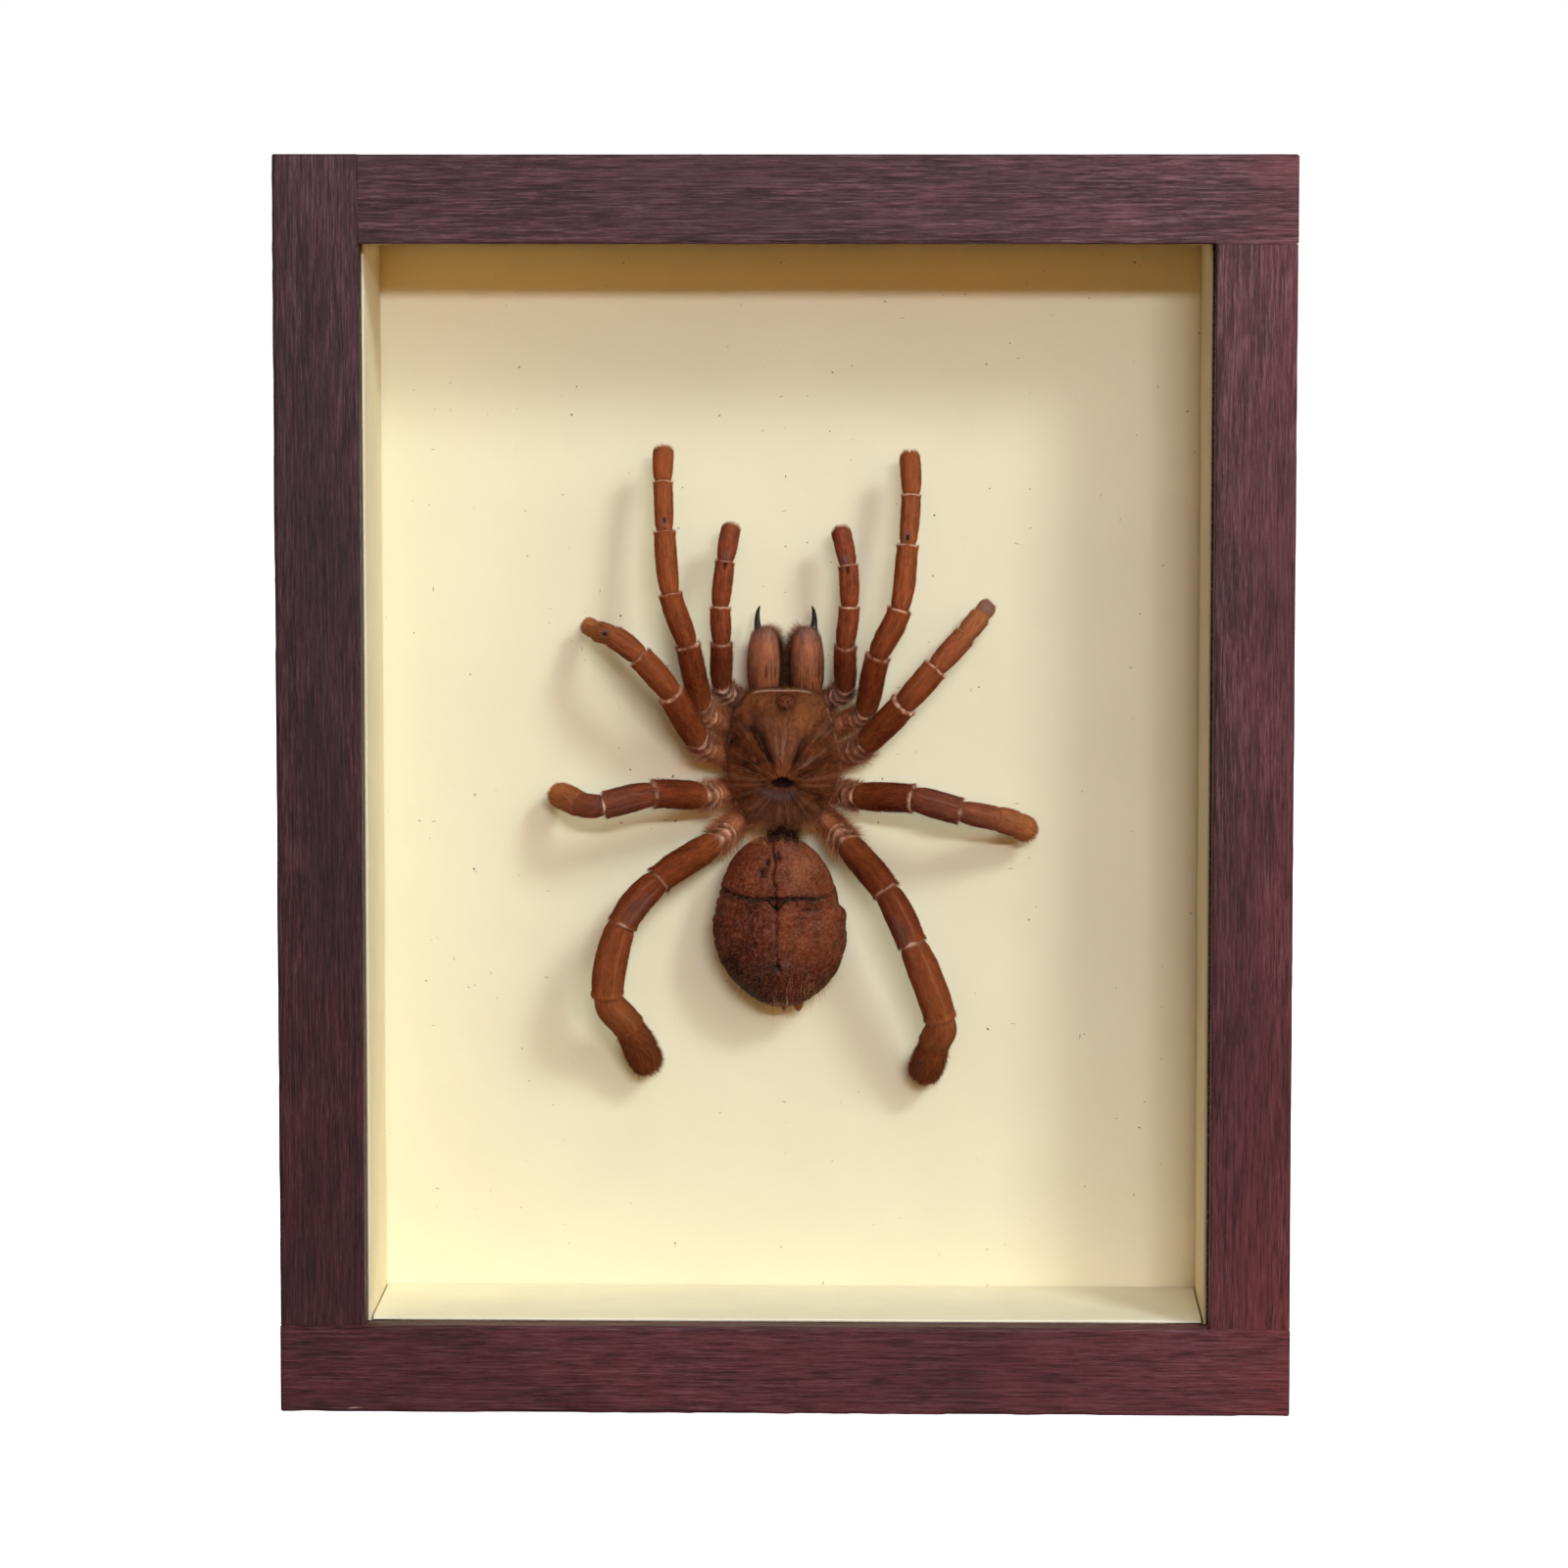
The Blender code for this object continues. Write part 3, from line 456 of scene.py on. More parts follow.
def blended(tree, factor, first, second, mode="MIX"):
    """Two colours mixed."""
    mix = put(tree, "ShaderNodeMix", data_type="RGBA", blend_type=mode)
    for key, value in ((0, factor), (6, first), (7, second)):
        if isinstance(value, bpy.types.NodeSocket):
            tree.links.new(value, mix.inputs[key])
        elif key == 0:
            mix.inputs[key].default_value = value
        else:
            mix.inputs[key].default_value = (*value[:3], 1.0)
    return mix.outputs[2]


def raised(tree, shader, height, distance, strength=1.0):
    """Fine relief on a shader's normal, its depth in millimetres."""
    bump = put(tree, "ShaderNodeBump", {
        "Height": height, "Distance": distance * MM, "Strength": strength})
    tree.links.new(bump.outputs[0], shader.inputs["Normal"])


def coloured(tree, shader, colour):
    """Give a shader its base colour."""
    tree.links.new(colour, shader.inputs["Base Color"])


def times(colour, factor):
    """A colour made lighter or darker."""
    return tuple(channel * factor for channel in colour)


# --------------------------------------------------------------------------------------- finishes

def stained_wood(stain):
    """Plum stain over brushed grain: dark in the grooves; mauve on the ridges, dry stain and
    painted highlight.
    """
    material, tree, shader = new_finish("plum_stained_wood", 0.5, Specular_IOR_Level=0.22)
    grain = stored(tree, "grain", "Vector")
    fine = grains(tree, scaled(tree, grain, (3.3, 3.3, 0.17)), 1.0, 5.0, 0.7)
    hair_lines = grains(tree, scaled(tree, grain, (7.0, 7.0, 0.4)), 1.0, 3.0, 0.6)
    broad = grains(tree, scaled(tree, grain, (0.26, 0.26, 0.06)), 1.0, 4.0, 0.6)
    zones = grains(tree, scaled(tree, grain, (0.05, 0.05, 0.02)), 1.0, 2.0, 0.5)
    where = put(tree, "ShaderNodeSeparateXYZ", {0: place_in_mm(tree)})
    ink, plum, mauve = times(stain, 0.42), stain, (0.178, 0.080, 0.090)
    rust, slate = (0.110, 0.024, 0.023), (0.024, 0.014, 0.019)
    colour = blended(tree, between(tree, broad, 0.34, 0.66), ink, plum)
    near_right = between(tree, where.outputs["X"], 84.0, 100.0, 0.0, 0.6)
    near_foot = between(tree, where.outputs["Z"], 110.0, 10.0, 0.0, 0.55)
    redder = sums(tree, "ADD", near_right, near_foot)
    redder = sums(tree, "MULTIPLY", redder, between(tree, broad, 0.3, 0.6, 0.4, 1.0))
    colour = blended(tree, redder, colour, rust)
    bluish = sums(tree, "MULTIPLY", between(tree, zones, 0.46, 0.62, 0.0, 0.5),
                  between(tree, where.outputs["X"], -60.0, -84.0, 0.25, 1.0))
    colour = blended(tree, bluish, colour, slate)
    # mauve where the stain is dry, and a painted highlight where the stored relief is raised
    dry = sums(tree, "ADD", between(tree, fine, 0.5, 0.68),
               sums(tree, "MULTIPLY", stored(tree, "relief"), 0.35))
    dry = sums(tree, "ADD", dry, between(tree, hair_lines, 0.52, 0.68, 0.0, 0.4))
    dry = sums(tree, "MULTIPLY", dry, between(tree, zones, 0.66, 0.4, 0.3, 0.7), clamp=True)
    colour = blended(tree, dry, colour, mauve)
    deep = between(tree, fine, 0.47, 0.36, 0.0, 0.85)
    colour = blended(tree, deep, colour, times(ink, 0.6))
    # painted light: the colour is made lighter towards the right and the top and near the foot
    painted_light = sums(tree, "ADD", between(tree, where.outputs["X"], -95.0, 75.0, 0.0, 0.55),
               between(tree, where.outputs["Z"], 130.0, 250.0, 0.0, 0.45))
    painted_light = sums(tree, "ADD", painted_light, between(tree, where.outputs["Z"], 60.0, 5.0, 0.0, 0.2))
    colour = blended(tree, between(tree, where.outputs["Z"], 190.0, 90.0), colour,
                     (1.0, 0.84, 0.85), "MULTIPLY")
    colour = blended(tree, 1.0, colour, between(tree, painted_light, 0.0, 1.0, 0.7, 1.35), "MULTIPLY")
    colour = blended(tree, stored(tree, "chip"), colour, (0.42, 0.26, 0.21))
    coloured(tree, shader, colour)
    tree.links.new(between(tree, fine, 0.3, 0.7, 0.62, 0.42), shader.inputs["Roughness"])
    raised(tree, shader, fine, 0.1, 0.8)
    return material


def clear_glass():
    """Thin clear glass."""
    material, tree, shader = new_finish("thin_glass", 0.02, Alpha=0.035, IOR=1.5)
    smear = grains(tree, scaled(tree, place_in_mm(tree), (0.05, 0.05, 0.05)), 1.0, 2.0)
    coloured(tree, shader, blended(tree, smear, (0.004, 0.006, 0.005), (0.012, 0.016, 0.014)))
    return material


def cream_paper(paper):
    """Handmade cream paper with a soft tooth and a few dark specks and fibres in it."""
    material, tree, shader = new_finish("handmade_paper", 0.85, Specular_IOR_Level=0.2)
    where = place_in_mm(tree)
    cloud = grains(tree, where, 0.045, 4.0, 0.6)
    tooth = grains(tree, where, 2.6, 4.0, 0.7)
    colour = blended(tree, between(tree, cloud, 0.3, 0.7), times(paper, 0.955), paper)
    colour = blended(tree, between(tree, tooth, 0.35, 0.7, 0.0, 0.1), colour, times(paper, 0.8))
    wobble = put(tree, "ShaderNodeTexNoise", {"Vector": where, "Scale": 0.9, "Detail": 3.0})
    moved = put(tree, "ShaderNodeVectorMath", {
        0: scaled(tree, wobble.outputs[1], (1.1, 1.1, 1.1)), 1: where}, operation="ADD")
    parts = put(tree, "ShaderNodeSeparateXYZ", {0: moved.outputs[0]})
    flat = put(tree, "ShaderNodeCombineXYZ", {
        "X": parts.outputs["X"], "Y": parts.outputs["Z"]}).outputs[0]
    specks = (                  # stretch of the cells, cells to a millimetre, share, size, colour
        ((1.0, 1.0, 1.0), 0.095, 0.70, 0.021, (0.14, 0.10, 0.06)),
        ((1.0, 1.0, 1.0), 0.22, 0.92, 0.034, (0.40, 0.28, 0.15)),
        ((0.35, 2.6, 1.0), 0.12, 0.93, 0.026, (0.36, 0.25, 0.15)),
        ((2.4, 0.38, 1.0), 0.11, 0.93, 0.024, (0.40, 0.28, 0.16)),
    )
    for stretch, scale, share, size, ink in specks:
        cells = put(tree, "ShaderNodeTexVoronoi", {
            "Vector": scaled(tree, flat, stretch), "Scale": scale}, voronoi_dimensions="2D")
        chosen = put(tree, "ShaderNodeSeparateColor", {0: cells.outputs["Color"]})
        small = between(tree, chosen.outputs[1], 0.0, 1.0, size * 0.5, size)
        inside = between(tree, sums(tree, "DIVIDE", cells.outputs["Distance"], small), 1.1, 0.7)
        picked = sums(tree, "GREATER_THAN", chosen.outputs[0], share)
        colour = blended(tree, sums(tree, "MULTIPLY", inside, picked), colour, ink)
    coloured(tree, shader, colour)
    raised(tree, shader, tooth, 0.03, 0.5)
    return material


def cream_liner(name, card):
    """Cream card strips, a little darker and duller than the board."""
    material, tree, shader = new_finish(name, 0.8, Specular_IOR_Level=0.2)
    where = place_in_mm(tree)
    cloud = grains(tree, where, 0.06, 4.0, 0.6)
    tooth = grains(tree, where, 2.2, 4.0, 0.7)
    colour = blended(tree, between(tree, cloud, 0.3, 0.7), times(card, 0.92), card)
    colour = blended(tree, between(tree, tooth, 0.35, 0.7, 0.0, 0.12), colour, times(card, 0.78))
    # painted shade: a dark line on the front edge, for the shaded gap beside the wood's lip
    gap_shade = sums(tree, "MULTIPLY", stored(tree, "edge"), between(tree, tooth, 0.3, 0.5, 0.7, 1.0))
    colour = blended(tree, gap_shade, colour, (0.075, 0.032, 0.016))
    coloured(tree, shader, colour)
    raised(tree, shader, tooth, 0.03, 0.5)
    return material


def hardboard():
    """Pressed brown fibreboard with short fibres in its face."""
    material, tree, shader = new_finish("pressed_board", 0.72, Specular_IOR_Level=0.3)
    where = place_in_mm(tree)
    cloud = grains(tree, where, 0.05, 3.0, 0.6)
    fibre = grains(tree, scaled(tree, where, (1.0, 1.0, 0.35)), 1.8, 5.0, 0.7, 0.8)
    dots = grains(tree, where, 3.4, 2.0, 0.6)
    colour = blended(tree, between(tree, cloud, 0.3, 0.7), (0.17, 0.085, 0.04),
                     (0.22, 0.115, 0.055))
    colour = blended(tree, between(tree, fibre, 0.45, 0.7, 0.0, 0.6), colour, (0.34, 0.20, 0.105))
    colour = blended(tree, between(tree, dots, 0.36, 0.28, 0.0, 0.7), colour, (0.07, 0.034, 0.018))
    coloured(tree, shader, colour)
    tree.links.new(between(tree, fibre, 0.3, 0.7, 0.8, 0.62), shader.inputs["Roughness"])
    raised(tree, shader, fibre, 0.06, 0.6)
    return material


def bare_steel(name, colour, brush, roughness):
    """Plated sheet steel, brushed along one way, with dull spots."""
    material, tree, shader = new_finish(name, roughness, Metallic=1.0)
    where = place_in_mm(tree)
    lines = grains(tree, scaled(tree, where, brush), 1.0, 4.0, 0.7)
    spots = grains(tree, where, 0.7, 3.0, 0.6)
    tone = blended(tree, between(tree, lines, 0.3, 0.7), times(colour, 0.82), colour)
    tone = blended(tree, between(tree, spots, 0.58, 0.72, 0.0, 0.55), tone, times(colour, 0.5))
    coloured(tree, shader, tone)
    rough = sums(tree, "ADD", between(tree, lines, 0.3, 0.7, roughness - 0.08, roughness + 0.1),
                 between(tree, spots, 0.55, 0.75, 0.0, 0.2))
    tree.links.new(rough, shader.inputs["Roughness"])
    raised(tree, shader, lines, 0.02, 0.6)
    return material


DARK, PALE = (0.012, 0.0035, 0.0015), (0.82, 0.50, 0.33)
GREY, EMBER = (0.165, 0.105, 0.092), (0.50, 0.190, 0.060)


def coat_colour(tree, base, streaks):
    """The coat's colour at a place: streaked base, then the stored masks over it."""
    lie = stored(tree, "lie", "Vector")
    fine = grains(tree, scaled(tree, lie, (2.4, 2.4, 0.42)), 1.0, 3.0, 0.6)
    clumps = grains(tree, scaled(tree, lie, (0.8, 0.8, 0.3)), 1.0, 4.0, 0.6)
    colour = blended(tree, between(tree, clumps, 0.32, 0.68), times(base, 0.62), times(base, 1.25))
    colour = blended(tree, stored(tree, "ember"), colour, EMBER)
    colour = blended(tree, stored(tree, "grey"), colour, GREY)
    colour = blended(tree, stored(tree, "dark"), colour, DARK)
    colour = blended(tree, between(tree, fine, 0.5, 0.3, 0.0, streaks), colour,
                     blended(tree, 0.75, colour, DARK))
    colour = blended(tree, stored(tree, "pale"), colour, PALE)
    return colour, fine


def skin_finish(name, base, roughness, streaks, relief, gloss=0.04):
    """Skin under the fur, with the coat's colours."""
    material, tree, shader = new_finish(name, roughness, Specular_IOR_Level=gloss)
    colour, fine = coat_colour(tree, base, streaks)
    coloured(tree, shader, colour)
    raised(tree, shader, fine, relief, 0.9)
    return material


def fur_finish(name, base, streaks, tip, tipped=0.45):
    """Hairs in the coat's colours, each its own shade and lighter at its tip."""
    material, tree, shader = new_finish(name, 0.62, Specular_IOR_Level=0.0)
    colour, fine = coat_colour(tree, base, streaks)
    shade = stored(tree, "shade")
    colour = blended(tree, between(tree, shade, 0.0, 0.4, 0.65, 0.0), colour,
                     blended(tree, 0.9, colour, DARK))
    lighter = blended(tree, tipped, colour, tip)
    tips = sums(tree, "MULTIPLY", between(tree, stored(tree, "reach"), 0.1, 0.8),
                between(tree, shade, 0.4, 1.0, 0.0, 1.5))
    tips = sums(tree, "MULTIPLY", tips, between(tree, stored(tree, "dark"), 0.25, 0.9, 1.0, 0.25))
    colour = blended(tree, tips, colour, lighter)
    bleach = sums(tree, "MULTIPLY", stored(tree, "bleach"),
                  between(tree, shade, 0.0, 1.0, 0.5, 1.3))
    bleach = sums(tree, "MULTIPLY", bleach,
                  between(tree, stored(tree, "dark"), 0.6, 0.95, 1.0, 0.0))
    colour = blended(tree, bleach, colour, tip)
    coloured(tree, shader, colour)
    tree.links.new(between(tree, fine, 0.2, 0.8, 0.7, 0.5), shader.inputs["Roughness"])
    return material


def horn():
    """Black polished horn of the fangs and the eyes."""
    material, tree, shader = new_finish("polished_horn", 0.2, Specular_IOR_Level=0.35)
    where = place_in_mm(tree)
    haze = grains(tree, where, 1.4, 3.0, 0.6)
    coloured(tree, shader, blended(tree, haze, (0.004, 0.002, 0.0015), (0.016, 0.008, 0.005)))
    tree.links.new(between(tree, haze, 0.3, 0.7, 0.12, 0.3), shader.inputs["Roughness"])
    return material


# ------------------------------------------------------------------------------- geometry nodes

def new_tree(name, inputs):
    """A geometry node tree with named inputs; gives the tree and its two end nodes."""
    tree = bpy.data.node_groups.new(name, "GeometryNodeTree")
    tree.interface.new_socket("Geometry", in_out="OUTPUT", socket_type="NodeSocketGeometry")
    for label, kind, default in inputs:
        socket = tree.interface.new_socket(label, in_out="INPUT", socket_type="NodeSocket" + kind)
        if default is not None:
            socket.default_value = default
    return tree, tree.nodes.new("NodeGroupInput"), tree.nodes.new("NodeGroupOutput")


def vector_step(tree, operation, first, second=(0.0, 0.0, 0.0), factor=None):
    """One step of vector arithmetic."""
    sockets = {0: first, 1: second} if operation != "SCALE" else {0: first, "Scale": factor}
    return put(tree, "ShaderNodeVectorMath", sockets, operation=operation).outputs[0]


def named(tree, name, kind="FLOAT"):
    """A stored attribute, as a field."""
    return put(tree, "GeometryNodeInputNamedAttribute", {"Name": name}, data_type=kind).outputs[0]


def store(tree, geometry, name, value):
    """Keep a field of numbers on the points under a name."""
    return put(tree, "GeometryNodeStoreNamedAttribute", {
        "Geometry": geometry, "Name": name, "Value": value}, data_type="FLOAT",
        domain="POINT").outputs[0]


def hair_layer():
    """One layer of tapered, bent hairs spread over a mesh, leaning the way it is combed."""
    tree, start, end = new_tree("hair_layer", (
        ("Skin", "Geometry", None), ("Density", "Float", 1.0), ("Length", "Float", 0.001),
        ("Width", "Float", 0.00005), ("Lean", "Float", 0.8), ("Ruffle", "Float", 0.2),
        ("Bend", "Float", 0.2), ("Bends", "Int", 1), ("Relative Length", "Float", 1.0),
        ("Bleach", "Float", 0.0), ("Seed", "Int", 0)))
    given = start.outputs
    slim = sums(tree, "DIVIDE", given["Width"], given["Length"])
    spike = put(tree, "GeometryNodeMeshCone", {
        "Vertices": 3, "Side Segments": given["Bends"], "Fill Segments": 1, "Radius Top": 0.0,
        "Radius Bottom": slim, "Depth": 1.0})
    height = put(tree, "ShaderNodeSeparateXYZ", {
        0: put(tree, "GeometryNodeInputPosition").outputs[0]}).outputs["Z"]
    hair = store(tree, spike.outputs["Mesh"], "reach", height)
    hair = store(tree, hair, "bleach", given["Bleach"])
    arc = sums(tree, "MULTIPLY", sums(tree, "MULTIPLY", height, height), given["Bend"])
    hair = put(tree, "GeometryNodeSetPosition", {
        "Geometry": hair, "Offset": put(tree, "ShaderNodeCombineXYZ", {0: arc}).outputs[0]})

    roots = put(tree, "GeometryNodeDistributePointsOnFaces", {
        "Mesh": given["Skin"], "Density": given["Density"], "Seed": given["Seed"]},
        distribute_method="RANDOM")
    shade = put(tree, "FunctionNodeRandomValue", {"Seed": sums(tree, "ADD", given["Seed"], 1.0)})
    points = store(tree, roots.outputs["Points"], "shade", shade.outputs[1])
    toss = put(tree, "FunctionNodeRandomValue", {
        0: (-1.0, -1.0, -1.0), 1: (1.0, 1.0, 1.0),
        "Seed": sums(tree, "ADD", given["Seed"], 2.0)}, data_type="FLOAT_VECTOR")
    along = vector_step(tree, "SCALE", named(tree, "comb", "FLOAT_VECTOR"), factor=given["Lean"])
    upright = sums(tree, "SUBTRACT", 1.0, given["Lean"])
    out = vector_step(tree, "SCALE", roots.outputs["Normal"], factor=upright)
    stray = vector_step(tree, "SCALE", toss.outputs[0], factor=given["Ruffle"])
    way = vector_step(tree, "ADD", vector_step(tree, "ADD", along, out), stray)
    turned = put(tree, "FunctionNodeAlignRotationToVector", {"Vector": way}, axis="Z")
    inward = vector_step(tree, "SCALE", roots.outputs["Normal"], factor=-1.0)
    turned = put(tree, "FunctionNodeAlignRotationToVector", {
        "Rotation": turned.outputs[0], "Vector": inward}, axis="X", pivot_axis="Z")
    vary = put(tree, "FunctionNodeRandomValue", {
        2: 0.65, 3: 1.25, "Seed": sums(tree, "ADD", given["Seed"], 3.0)})
    size = sums(tree, "MULTIPLY", given["Length"], vary.outputs[1])
    size = sums(tree, "MULTIPLY", size, given["Relative Length"])
    hairs = put(tree, "GeometryNodeInstanceOnPoints", {
        "Points": points, "Instance": hair.outputs[0], "Rotation": turned.outputs[0],
        "Scale": size})
    tree.links.new(hairs.outputs[0], end.inputs[0])
    return tree


FUR_INPUTS = (
    ("Coat Density", "Float", 1.0), ("Coat Length", "Float", 0.001),
    ("Coat Width", "Float", 0.00005), ("Coat Lean", "Float", 0.8),
    ("Bristle Density", "Float", 1.0), ("Bristle Length", "Float", 0.002),
    ("Bristle Width", "Float", 0.00005), ("Bristle Lean", "Float", 0.6),
    ("Bristle Bleach", "Float", 0.5), ("Ruffle", "Float", 0.25), ("Seed", "Int", 0),
    ("Finish", "Material", None))


def fur_tree():
    """A short coat and long bristles on one skin, made real, in one finish."""
    tree, start, end = new_tree("spider_fur", (("Geometry", "Geometry", None), *FUR_INPUTS))
    layer = hair_layer()
    given = start.outputs
    stray = sums(tree, "MULTIPLY", given["Ruffle"], named(tree, "ruffle"))
    both = tree.nodes.new("GeometryNodeJoinGeometry")
    for word, bends, bend, bleach, offset in (
            ("Coat", 1, 0.0, 0.0, 0.0), ("Bristle", 2, 0.22, given["Bristle Bleach"], 50.0)):
        density = sums(tree, "MULTIPLY", given[word + " Density"],
                       named(tree, word.lower() + "_share"))
        hairs = put(tree, "GeometryNodeGroup", {
            "Skin": given["Geometry"], "Density": density, "Length": given[word + " Length"],
            "Width": given[word + " Width"], "Lean": given[word + " Lean"], "Ruffle": stray,
            "Bend": bend, "Bends": bends, "Bleach": bleach,
            "Relative Length": named(tree, word.lower() + "_length"),
            "Seed": sums(tree, "ADD", given["Seed"], offset)}, node_tree=layer)
        tree.links.new(hairs.outputs[0], both.inputs[0])
    real = put(tree, "GeometryNodeRealizeInstances", {"Geometry": both.outputs[0]})
    done = put(tree, "GeometryNodeSetMaterial", {
        "Geometry": real.outputs[0], "Material": given["Finish"]})
    tree.links.new(done.outputs[0], end.inputs[0])
    return tree


def apply_tree(tree, host, name, values):
    """A plain mesh piece from a node tree run on a copy of a host's mesh."""
    carrier = bpy.data.objects.new(name, host.data.copy())
    bpy.context.scene.collection.objects.link(carrier)
    modifier = carrier.modifiers.new("Nodes", "NODES")
    modifier.node_group = tree
    for item in tree.interface.items_tree:
        if item.item_type == "SOCKET" and item.in_out == "INPUT" and item.name in values:
            modifier[item.identifier] = values[item.name]
    bpy.context.view_layer.update()
    depsgraph = bpy.context.evaluated_depsgraph_get()
    mesh = bpy.data.meshes.new_from_object(carrier.evaluated_get(depsgraph))
    spare = carrier.data
    bpy.data.objects.remove(carrier)
    bpy.data.meshes.remove(spare)
    kept = {"lie", "dark", "grey", "ember", "pale", "shade", "reach", "bleach", "sharp_face"}
    for attribute in [a.name for a in mesh.attributes if not a.is_internal]:
        if attribute not in kept and not mesh.attributes[attribute].is_required:
            mesh.attributes.remove(mesh.attributes[attribute])
    mesh.name = name
    mesh.materials.clear()
    return place(name, mesh, [values["Finish"]])


def grow_fur(skin, name, finish, slot, **changes):
    """A coat of fur for a skin piece, as a piece of its own."""
    settings = bpy.context.scene.specimen
    tree = bpy.data.node_groups.get("spider_fur") or fur_tree()
    values = {
        "Coat Density": settings.coat_density / MM ** 2, "Coat Length": settings.coat_length,
        "Coat Width": 0.00004, "Coat Lean": 0.88,
        "Bristle Density": settings.bristle_density / MM ** 2,
        "Bristle Length": settings.bristle_length, "Bristle Width": 0.000032,
        "Bristle Lean": 0.72, "Bristle Bleach": 0.45, "Ruffle": 0.17, "Seed": settings.seed,
        "Finish": finish}
    values.update(changes)
    settle(apply_tree(tree, skin, name, values), slot)


# ------------------------------------------------------------------------------------ the holder

def eased_outline(corners, eases, pieces):
    """A closed outline with rounded corners: points, the way out at each, and edge weights."""
    points, ways, edges = [], [], []
    count = len(corners)
    for number in range(count):
        here, goal = np.array(corners[number]), np.array(corners[(number + 1) % count])
        before, after = unit(np.array(corners[number - 1]) - here), unit(goal - here)
        way_in, way_out = np.array((-before[1], before[0])), np.array((after[1], -after[0]))
        ease = eases[number]
        for share in np.linspace(0.0, 1.0, 4):
            points.append(here + ease * (before * (1 - share) ** 2 + after * share ** 2))
            ways.append(unit(way_in * (1 - share) + way_out * share))
            edges.append(ramp(ease, 0.02, 0.1))
        start, goal = here + after * ease, goal - after * eases[(number + 1) % count]
        for share in np.arange(1, pieces[number]) / pieces[number]:
            points.append(start + (goal - start) * share)
            ways.append(way_out)
            edges.append(0.0)
    return np.array(points), np.array(ways), np.array(edges)


MEMBERS = {     # axis, outer edge, sight edge, rebate, span, free ends, open part, cut part
    "frame_left_stile": ("z", FRAME_X[0], SIGHT_X[0], REBATE_X[0], (SIGHT_Z[0], FRAME_Z[1]),
                         (False, True), SIGHT_Z, REBATE_Z),
    "frame_right_stile": ("z", FRAME_X[1], SIGHT_X[1], REBATE_X[1], SIGHT_Z, (False, False),
                          SIGHT_Z, REBATE_Z),
    "frame_top_rail": ("x", FRAME_Z[1], SIGHT_Z[1], REBATE_Z[1], (SIGHT_X[0], FRAME_X[1]),
                       (False, True), SIGHT_X, REBATE_X),
    "frame_bottom_rail": ("x", FRAME_Z[0], SIGHT_Z[0], REBATE_Z[0], FRAME_X, (True, True),
                          SIGHT_X, REBATE_X),
}
CHIPS = ((99.6, 27.0, 0.32), (-99.3, 5.2, 0.3), (-86.5, 0.9, 0.28))    # x, z and size of chips


